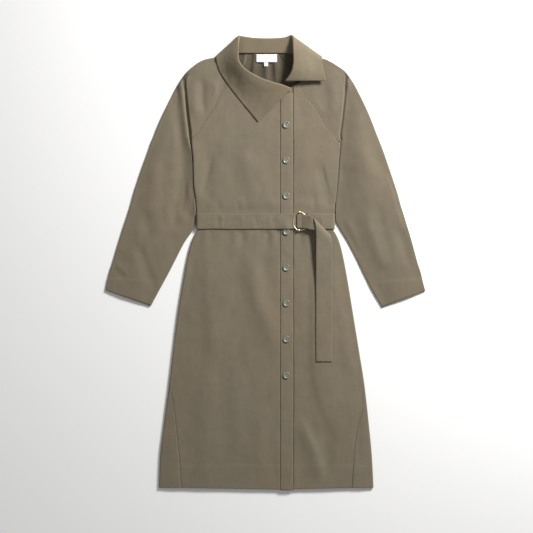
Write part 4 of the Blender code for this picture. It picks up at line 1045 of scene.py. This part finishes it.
def belt_z(x, y):
    """Belt over the front, lifted by the placket and the button under its lower edge."""
    over_placket = between(x, PLACKET_LEFT_X - 12, 10, PLACKET_RIGHT_X + 12, 10)
    on_button = bell((x - BUTTON_X) / 13) * ease((BELT_TOP_Y - 8 - y) / 26)
    return AIR + BELT_LIFT + 1.1 * over_placket + 2.9 * on_button


def belt_relief(x, y):
    crown = BELT_CROWN * bell((y - (BELT_TOP_Y + BELT_BOTTOM_Y) / 2) / 16, 4)
    return relief(BELT_CREASES, x, y) + waves([Wave(0.28, 24, 17, 51)], x, y) + crown


def belt_grid():
    """The belt round the waist, from inside the ring out to the wearer's right and round."""
    level = float(belt_z(-180.0, 110.0))
    centre, reach = (level + 1.0) / 2, (level - 1.0) / 2
    angles = [math.pi * (0.5 - j / 14) for j in range(15)]
    turn = [(BELT_TURN_X + BELT_TURN * math.cos(a), centre + reach * math.sin(a)) for a in angles]
    path = [(x, None) for x in np.arange(BELT_START_X, -BELT_RUN_X - 1, -2.8)] + [(-x, z) for x, z in turn]
    path += [(x, 1.0) for x in np.linspace(-BELT_RUN_X, BELT_RUN_X, 44)] + turn[::-1]
    path += [(x, None) for x in np.arange(BELT_RUN_X, BELT_END_X, -2.8)]
    rows = []
    for x, z in path:
        y = np.linspace(BELT_TOP_Y, BELT_BOTTOM_Y, 17)
        if z is None:
            z = belt_z(x, y) + belt_relief(x + 0 * y, y) * float(ease((BELT_RUN_X - abs(x)) / 20))
            y = y + 0.6 * ripple(np.array(x / 40), np.array(0.3), 52)
        rows.append(np.column_stack([np.full(len(y), x), y, z + 0 * y]))
    return np.stack(rows)


def tail_grid():
    """The strip from inside the ring, folded down over itself and along the skirt."""
    upper, lower = ([row[:3] for row in TAIL], [row[3:] for row in TAIL])
    places = row_places(mix(np.array(upper, float), np.array(lower, float), 0.5), 2.6)
    table = dense(TAIL, places)
    shares = np.linspace(0, 1, 17)[None, :]
    grid = mix(points_of(table, "upper")[:, None], points_of(table, "lower")[:, None], shares[..., None])
    free = ease((places - TAIL_FREE_ROW) / 4.5)[:, None]
    x, y = grid[..., 0], grid[..., 1]
    rest = front_z(x, y) + TAIL_LIFT
    lying = np.maximum(rest.max(axis=1, keepdims=True) - TAIL_SPAN, rest)
    grid[..., 2] = np.maximum(mix(grid[..., 2], lying, free), np.where(free > 0, rest, -9))
    crown = TAIL_CROWN * (1 - (2 * shares - 1) ** 4)
    grid[..., 2] += (crown + waves([Wave(0.22, 14, 38, 61)], x, y)) * free
    grid[..., 0] += 0.7 * ripple(y / 70, 0 * y + 0.7, 62) * free
    return grid


# ---- materials

CLOTH_SLOT, METAL_SLOT, BUTTON_SLOT, TAPE_SLOT = "gabardine", "brass", "pearl_button", "label_tape"


class Nodes:
    """Small helper that wires a material's nodes."""

    def __init__(self, name):
        self.material = bpy.data.materials.new(name)
        self.material.use_nodes = True
        self.tree = self.material.node_tree
        self.shader = self.tree.nodes["Principled BSDF"]
        self.coordinates = self.tree.nodes.new("ShaderNodeTexCoord").outputs["Object"]

    def put(self, socket, value):
        if isinstance(value, bpy.types.NodeSocket):
            self.tree.links.new(value, socket)
        else:
            socket.default_value = value

    def node(self, kind, output, settings=None, **inputs):
        node = self.tree.nodes.new("ShaderNode" + kind)
        for name, value in (settings or {}).items():
            setattr(node, name, value)
        for name, value in inputs.items():
            self.put(node.inputs[int(name[1:]) if name[1:].isdigit() else name.replace("_", " ")], value)
        return node.outputs[output]

    def turned(self, angle, *rest, stretch=1.0):
        """Coordinates turned about Z, or about X, Y and Z, and stretched along Y."""
        rotation = (angle, *rest) if rest else (0.0, 0.0, angle)
        return self.node("Mapping", "Vector", Vector=self.coordinates, Rotation=rotation,
                         Scale=(1.0, stretch, 1.0))

    def noise(self, vector, scale, detail=3.0, roughness=0.55):
        return self.node("TexNoise", "Fac", Vector=vector, Scale=scale, Detail=detail, Roughness=roughness)

    def wave(self, vector, scale, distortion=0.0):
        return self.node("TexWave", "Fac", Vector=vector, Scale=scale, Distortion=distortion)

    def ramp(self, value, low, high, start=0.0, stop=1.0):
        """A texture's range from start to stop, spread on low to high."""
        return self.node("MapRange", "Result", Value=value, From_Min=start, From_Max=stop,
                         To_Min=low, To_Max=high)

    def spread(self, noise, low, high):
        """A noise, which hardly leaves 0.3 to 0.7, spread on low to high."""
        return self.ramp(noise, low, high, 0.3, 0.7)

    def math(self, operation, *values):
        """Sum or product of any number of values."""
        return reduce(lambda a, b: self.node("Math", "Value", {"operation": operation}, _0=a, _1=b), values)

    def scaled(self, vector, factor):
        return self.node("VectorMath", "Vector", {"operation": "SCALE"}, _0=vector, Scale=factor)

    def shifted(self, colour, change, amount):
        """A colour moved towards another by a value about 0."""
        change = self.scaled(change, amount)
        return self.node("VectorMath", "Vector", {"operation": "ADD"}, _0=colour, _1=change)

    def axis(self, vector, letter):
        return self.node("SeparateXYZ", letter, Vector=vector)

    def bump(self, height, distance, strength=1.0, **normal):
        return self.node("Bump", "Normal", Height=height, Distance=distance, Strength=strength, **normal)

    def finish(self, slot, **values):
        """Set the shader's inputs; return the material with the slot it belongs to."""
        for name, value in values.items():
            self.put(self.shader.inputs[name.replace("_", " ")], value)
        return Finish(self.material, slot)


GABARDINE = (0.186, 0.155, 0.108)
WARMER = (0.0045, 0.0, -0.0035)           # change of colour where the cloth is warmer
TWILL_ANGLE = math.radians(27)
PAINTED_NECK_SHADE = 0.48        # painted shade: share of its brightness that the cloth keeps on low faces inside the neck that look up
NECK_INSIDE_Y = (0.455, 0.475)            # metres, where that share sets in


def painted_neck_shade(m, painted_shade_below):
    """Painted shade inside the neck: the cloth's brightness falls to a set share on faces there that look up
    and lie low, else 1.
    """
    normal = m.node("NewGeometry", "Normal")
    upward = m.ramp(m.axis(normal, "Z"), 0.0, 1.0, 0.0, 0.2)
    high_up = m.ramp(m.axis(m.coordinates, "Y"), 0.0, 1.0, *NECK_INSIDE_Y)
    below = m.ramp(m.axis(m.coordinates, "Z"), 1.0, 0.0, painted_shade_below, painted_shade_below + 0.0006)
    return m.ramp(m.math("MULTIPLY", upward, high_up, below), 1.0, PAINTED_NECK_SHADE)


def gabardine(name, warp_angle, painted_shade=(1.0, 1.0, 1.0), painted_shade_below=None):
    """Cotton gabardine: a fine steep twill, a little mottled and softly lit at its edges.

    Below a given level, in metres, shade is painted on its upward faces inside the neck."""
    m = Nodes(name)
    lying = m.turned(-warp_angle)
    twill = m.wave(m.turned(TWILL_ANGLE - warp_angle), 340.0, 0.6)
    yarn = m.noise(m.turned(-warp_angle, stretch=0.18), 1500.0, 2.0)
    slub = m.noise(m.turned(-warp_angle, stretch=0.08), 230.0, 3.0)
    mottle = m.noise(lying, 34.0, 4.0, 0.6)
    patch = m.noise(lying, 7.0, 2.0)
    parts = [m.ramp(twill, 0.95, 1.05), m.ramp(yarn, 0.93, 1.07, 0.25, 0.75), m.spread(slub, 0.965, 1.035),
             m.spread(mottle, 0.955, 1.045), m.spread(patch, 0.98, 1.02)]
    # painted shade on the low faces inside the neck
    if painted_shade_below is not None:
        parts.append(painted_neck_shade(m, painted_shade_below))
    # a colour factor below 1 darkens a copy of the cloth: painted shade
    colour = tuple(channel * part for channel, part in zip(GABARDINE, painted_shade))
    drift = m.spread(m.noise(m.coordinates, 3.1, 2.0), -1.0, 1.0)
    height = m.math("ADD", m.math("MULTIPLY", twill, 0.6), m.math("MULTIPLY", yarn, 0.7))
    return m.finish(
        CLOTH_SLOT, Base_Color=m.scaled(m.shifted(colour, WARMER, drift), m.math("MULTIPLY", *parts)),
        Roughness=m.spread(slub, 0.78, 0.92), Specular_IOR_Level=0.25,
        Sheen_Weight=0.12, Sheen_Roughness=0.45, Sheen_Tint=(1.0, 0.95, 0.86, 1.0),
        Normal=m.bump(height, 0.00022, 0.5, Normal=m.bump(mottle, 0.0011, 0.35)))


def thread_finish():
    m = Nodes("sewing_thread")
    twist = m.wave(m.turned(math.radians(35)), 700.0)
    return m.finish(CLOTH_SLOT, Base_Color=m.scaled((0.19, 0.16, 0.112), m.ramp(twist, 0.86, 1.1)),
                    Roughness=0.62, Sheen_Weight=0.1, Normal=m.bump(twist, 0.00008, 0.6))


def brass_finish():
    m = Nodes("brass_wire")
    worn = m.noise(m.coordinates, 160.0, 4.0, 0.6)
    fine = m.noise(m.coordinates, 1400.0, 2.0)
    return m.finish(METAL_SLOT, Base_Color=m.scaled((0.84, 0.72, 0.48), m.spread(worn, 0.88, 1.06)),
                    Metallic=1.0, Roughness=m.spread(worn, 0.32, 0.46), Normal=m.bump(fine, 0.00005, 0.25))


def pearl_finish():
    m = Nodes("pearly_button")
    cloud = m.noise(m.coordinates, 85.0, 4.0, 0.65)
    streak = m.wave(m.turned(0.4, 0.3, 0.7), 26.0, 7.0)
    brightness = m.math("MULTIPLY", m.spread(cloud, 0.86, 1.14), m.ramp(streak, 0.93, 1.06))
    return m.finish(BUTTON_SLOT, Base_Color=m.scaled((0.205, 0.22, 0.18), brightness),
                    Roughness=m.spread(cloud, 0.2, 0.34), Coat_Weight=0.3, Coat_Roughness=0.15,
                    Sheen_Weight=0.03, Normal=m.bump(streak, 0.00006, 0.3))


def tape_finish():
    m = Nodes("woven_tape")
    weave = m.math("MULTIPLY", m.wave(m.turned(0.0), 560.0), m.wave(m.turned(math.radians(90)), 480.0))
    soft = m.noise(m.coordinates, 90.0, 3.0)
    brightness = m.math("MULTIPLY", m.ramp(weave, 0.93, 1.0), m.spread(soft, 0.95, 1.03))
    return m.finish(TAPE_SLOT, Base_Color=m.scaled((0.80, 0.80, 0.785), brightness), Roughness=0.6,
                    Sheen_Weight=0.2, Normal=m.bump(weave, 0.0001, 0.5))


def floor_finish():
    m = Nodes("pale_floor")
    soft = m.noise(m.coordinates, 3.0, 2.0)
    return m.finish(None, Base_Color=m.scaled((0.96, 0.96, 0.955), m.ramp(soft, 0.995, 1.005)), Roughness=0.9)


cloth_body = gabardine("gabardine_body", 0.0)
# the back and both sleeves get painted shade on their low faces inside the neck
cloth_back = gabardine("gabardine_back", 0.0, painted_shade_below=0.009)
cloth_arm = {
    RIGHT: gabardine("gabardine_sleeve_right", math.radians(-28), painted_shade_below=0.0045),
    # the left sleeve's copy is a tenth darker: painted shade
    LEFT: gabardine("gabardine_sleeve_left", math.radians(28), (0.9, 0.9, 0.9), painted_shade_below=0.0045),
}
# the collar's copy is darker and a little warmer: painted shade
cloth_collar = gabardine("gabardine_collar", math.radians(40), (0.93, 0.92, 0.88))
cloth_belt = gabardine("gabardine_belt", math.radians(90))
thread, brass, pearl, tape = thread_finish(), brass_finish(), pearl_finish(), tape_finish()


# ---- cloth pieces

def dress(node, grid, wall, finish, ending="cloth"):
    """Shell that takes the place of a CAD node."""
    piece = shell(f"{node}_{ending}", grid, wall, finish)
    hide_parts(node)
    return piece


front_grids = {RIGHT: front_grid(RIGHT, PLACKET_LEFT_X - GAP / 2, 456.0, -24.0, front_z),
               LEFT: front_grid(LEFT, UNDERLAP_X, 462.0, 0.0, underlap_z)}
front_walls = {side: hem_wall(grid, 0.5) for side, grid in front_grids.items()}
fronts = {side: dress(f"front_{SIDE_NAMES[side]}", grid, front_walls[side], cloth_body)
          for side, grid in front_grids.items()}
back_points = back_grid()
back = dress("back", back_points, hem_wall(back_points, 0.2), cloth_back)
sleeve_grids = {side: sleeve_grid(side) for side in (RIGHT, LEFT)}
sleeves = {side: dress(f"sleeve_{SIDE_NAMES[side]}", grid, wall, cloth_arm[side])
           for side, (grid, wall) in sleeve_grids.items()}
collar_points, placket_points = collar_grid(), placket_grid()
collar = dress("collar", collar_points, COLLAR_WALL, cloth_collar)
placket = dress("placket", placket_points, PLACKET_WALL, cloth_body)
belt_points, tail_points = belt_grid(), tail_grid()
belt = dress("belt", belt_points, DOUBLED, cloth_belt)
tail = dress("belt_tail", tail_points, DOUBLED, cloth_belt)

# ---- stitching

STITCH_INSET = 3.0       # from the inner edge of a turned-up hem
COLLAR_STITCH_INSET = 5.0
BELT_STITCH_COLUMNS = (1.2, 14.8)

collar_rows, collar_columns = collar_points.shape[:2]
fall_length = np.linalg.norm(collar_points[:, -1] - collar_points[:, -FALL_COLUMNS], axis=1)
edge_rows = np.linspace(2.0, collar_rows - 3.0, 260)
column_width = np.interp(edge_rows, np.arange(collar_rows), fall_length) / FALL_COLUMNS
edge_inset = COLLAR_STITCH_INSET / column_width
collar_lines = [on_surface(collar_points, COLLAR_WALL, edge_rows, collar_columns - 1 - edge_inset)]
collar_lines += [on_surface(collar_points, COLLAR_WALL, row, np.linspace(30, collar_columns - 2.6, 60))
                 for row in (1.6, 4.6, collar_rows - 2.6, collar_rows - 5.4)]
collar_stitches = stitches("collar_stitches", collar_lines, thread)

placket_lines = []
for column in (0.7, 11.0):
    line = on_surface(placket_points, PLACKET_WALL, np.linspace(1, len(placket_points) - 2, 400), column)
    placket_lines += [line[line[:, 1] > BELT_TOP_Y + 1], line[line[:, 1] < BELT_BOTTOM_Y - 1]]
placket_stitches = stitches("placket_stitches", placket_lines, thread)

hem_lines = []
for side, grid in front_grids.items():
    columns = np.arange(2, grid.shape[1] - (3 if side == RIGHT else 12))
    stitch_y = HEM_SIDE_Y + HEM_DEPTH - STITCH_INSET
    rows = [np.interp(-stitch_y, -grid[:, column, 1], np.arange(len(grid))) for column in columns]
    hem_lines.append(on_surface(grid, front_walls[side], rows, columns))
hem_stitches = stitches("hem_stitches", hem_lines, thread)

front_run = int(np.argmax(belt_points[:, 0, 0] < -BELT_RUN_X))
belt_lines = [on_surface(belt_points, DOUBLED, np.linspace(1, front_run, 260), column)
              for column in BELT_STITCH_COLUMNS]
belt_stitches = stitches("belt_stitches", belt_lines, thread)
tail_rows = len(tail_points)
tail_lines = [on_surface(tail_points, DOUBLED, np.linspace(40, tail_rows - 2.5, 220), column)
              for column in BELT_STITCH_COLUMNS]
tail_lines += [on_surface(tail_points, DOUBLED, row, np.linspace(1.4, 14.6, 20))
               for row in (tail_rows - 2.4, tail_rows - 4.2)]
tail_stitches = stitches("tail_stitches", tail_lines, thread)

for side, (grid, wall) in sleeve_grids.items():
    row = len(grid) - 1 - (CUFF_DEPTH - STITCH_INSET) / SLEEVE_PITCH
    line = on_surface(grid, wall, row, np.arange(CURL_STEPS + 1, TOP_COLUMNS - 10))
    stitches(f"cuff_{SIDE_NAMES[side]}_stitches", [line], thread)

# ---- buckle

RING_LIFT = 2.05         # the wire's middle over the belt's face
ring_level = AIR + BELT_LIFT + DOUBLED / 2 + RING_LIFT
ring = tube("buckle_ring", [(x, y, ring_level) for x, y in spline(RING)], RING_WIRE, brass)
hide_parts("buckle_arc_1", "buckle_arc_2")
BEAD_RADIUS, BEAD_SIDES, BEAD_STRETCH = 3.0, 28, (1.4, 1.0, 1.0)
bead_profile = [(0, -BEAD_RADIUS)]
bead_profile += [(BEAD_RADIUS * math.cos(t), BEAD_RADIUS * math.sin(t)) for t in np.linspace(-1.4, 1.4, 15)]
bead_profile += [(0, BEAD_RADIUS)]
for number, (x, y) in enumerate(RING_BEADS, 1):
    bead = turned_piece(f"buckle_bead_{number}_ball", bead_profile, (x, y, ring_level), brass,
                        BEAD_SIDES, lambda points: points * BEAD_STRETCH)
    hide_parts(f"buckle_bead_{number}")

# ---- buttons

BUTTON_SIDES, BUTTON_GAP = 48, 0.15
HOLE, HOLE_RADIUS = 1.55, 1.25            # a hole's place from the button's middle
HOLLOW_RADIUS, HOLLOW_FLOOR = 4.2, 0.8    # the points that a hole can sink
THREAD_LEVEL, THREAD_REACH, THREAD_BOW = 1.62, 1.6, 0.12
BUTTON_PROFILE = [(0, 0), (6.6, 0), (8.2, 0.35), (8.85, 0.9), (9.0, 1.4), (8.9, 1.95), (8.5, 2.4),
                  (7.9, 2.62), (7.3, 2.55), (6.7, 2.25), (6.2, 1.9), (5.6, 1.66), (5.0, 1.54), (4.5, 1.5)]
BUTTON_PROFILE += [(radius, 1.48) for radius in np.arange(4.1, 0.2, -0.3)] + [(0, 1.48)]
UNDER_BUTTON = np.linspace(-8, 8, 9)


def drilled(points):
    """Sink the four holes of a button into its hollow face."""
    inner = (np.hypot(points[:, 0], points[:, 1]) < HOLLOW_RADIUS) & (points[:, 2] > HOLLOW_FLOOR)
    for x in (-HOLE, HOLE):
        for y in (-HOLE, HOLE):
            far = np.hypot(points[:, 0] - x, points[:, 1] - y)
            points[:, 2] -= np.where(inner, ease((HOLE_RADIUS - far) / 0.55), 0)
    return points


for number, y in enumerate(BUTTON_YS, 1):
    highest = float(placket_z(*np.meshgrid(BUTTON_X + UNDER_BUTTON, y + UNDER_BUTTON)).max())
    level = highest + PLACKET_CROWN + PLACKET_WALL / 2 + BUTTON_GAP
    button = turned_piece(f"button_{number}_pearly", BUTTON_PROFILE, (BUTTON_X, y, level), pearl,
                          BUTTON_SIDES, drilled)
    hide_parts(f"button_{number}")
    threads = [[(BUTTON_X + t, y + row, level + THREAD_LEVEL + THREAD_BOW * math.cos(t))
                for t in np.linspace(-THREAD_REACH, THREAD_REACH, 7)] for row in (HOLE, -HOLE)]
    stitches(f"button_{number}_thread", threads, thread, pitch=3.1, length=3.1, radius=0.32)

# ---- label and size tab, both bare

LABEL, TAB = (-25, 31, 562.5, 541), (-4, 7, 540.6, 530)     # left, right, top, bottom
LABEL_LIFT, TAB_DROP = 0.35, 0.1          # the label's middle over the back's face, the tab's under that
label_ground = back_z(*np.meshgrid(np.linspace(*LABEL[:2], 29), np.linspace(LABEL[3], 562, 12)))
label_level = float(label_ground.max()) + CLOTH / 2 + LABEL_LIFT


def tape_grid(left, right, top, bottom, level):
    x, y = np.meshgrid(np.linspace(left, right, 25), np.linspace(top, bottom, 13))
    z = level + waves([Wave(0.12, 9, 9, 71)], x, y) - 0.25 * ((x - (left + right) / 2) / (right - left)) ** 2
    return join(x, y, z)


label_points = tape_grid(*LABEL, label_level)
label = dress("neck_label", label_points, TAPE_WALL, tape, "tape")
tab = dress("size_tab", tape_grid(*TAB, label_level - TAB_DROP), TAPE_WALL, tape, "tape")
label_lines = [on_surface(label_points, TAPE_WALL, np.linspace(0.8, 11.2, 20), column)
               for column in (0.8, 23.2)]
label_stitches = stitches("label_stitches", label_lines, tape, pitch=2.4, length=1.7, radius=0.2)

# ---- floor, light and camera

FLOOR_REACH, FLOOR_Z = 9.0, -0.0002
corners = [(x * FLOOR_REACH, y * FLOOR_REACH, 0) for x, y in ((-1, -1), (1, -1), (1, 1), (-1, 1))]
floor_mesh = bpy.data.meshes.new("floor")
floor_mesh.from_pydata(corners, [], [(0, 1, 2, 3)])
floor_mesh.materials.append(floor_finish().material)
floor = add_object("floor", floor_mesh)
floor.location.z = FLOOR_Z

KEY_AZIMUTH, KEY_HEIGHT, KEY_DISTANCE = math.radians(46.0), math.radians(30.0), 2.6
KEY_SIZE, KEY_WATTS, KEY_COLOUR = 0.7, 109.0, (1.0, 0.99, 0.975)
SKY_STRENGTH = 0.315
key_data = bpy.data.lights.new("key", "AREA")
key_data.shape, key_data.size = "DISK", KEY_SIZE
key_data.energy, key_data.color = KEY_WATTS, KEY_COLOUR
key = add_object("key", key_data)
key.location = KEY_DISTANCE * Vector((math.cos(KEY_AZIMUTH) * math.cos(KEY_HEIGHT),
                                      math.sin(KEY_AZIMUTH) * math.cos(KEY_HEIGHT), math.sin(KEY_HEIGHT)))
key.rotation_euler = (-key.location).to_track_quat("-Z", "Y").to_euler()

world = bpy.data.worlds.new("studio")
world.use_nodes = True
background = world.node_tree.nodes["Background"]
background.inputs["Color"].default_value = (1.0, 1.0, 1.0, 1.0)
background.inputs["Strength"].default_value = SKY_STRENGTH
bpy.context.scene.world = world
bpy.context.scene.view_settings.view_transform = "Standard"
bpy.context.scene.view_settings.look = "None"

FRAME_WIDTH, CAMERA_HEIGHT, SENSOR = 1.439, 4.0, 36.0
DRESS_TOP = 0.01         # the level that the frame's width is measured at
camera_data = bpy.data.cameras.new("camera")
camera_data.sensor_width = SENSOR
camera_data.lens = SENSOR * (CAMERA_HEIGHT - DRESS_TOP) / FRAME_WIDTH
camera_data.clip_end = 50.0
camera = add_object("camera", camera_data)
camera.location = (0.0027, -0.011, CAMERA_HEIGHT)
bpy.context.scene.camera = camera

bpy.context.view_layer.update()
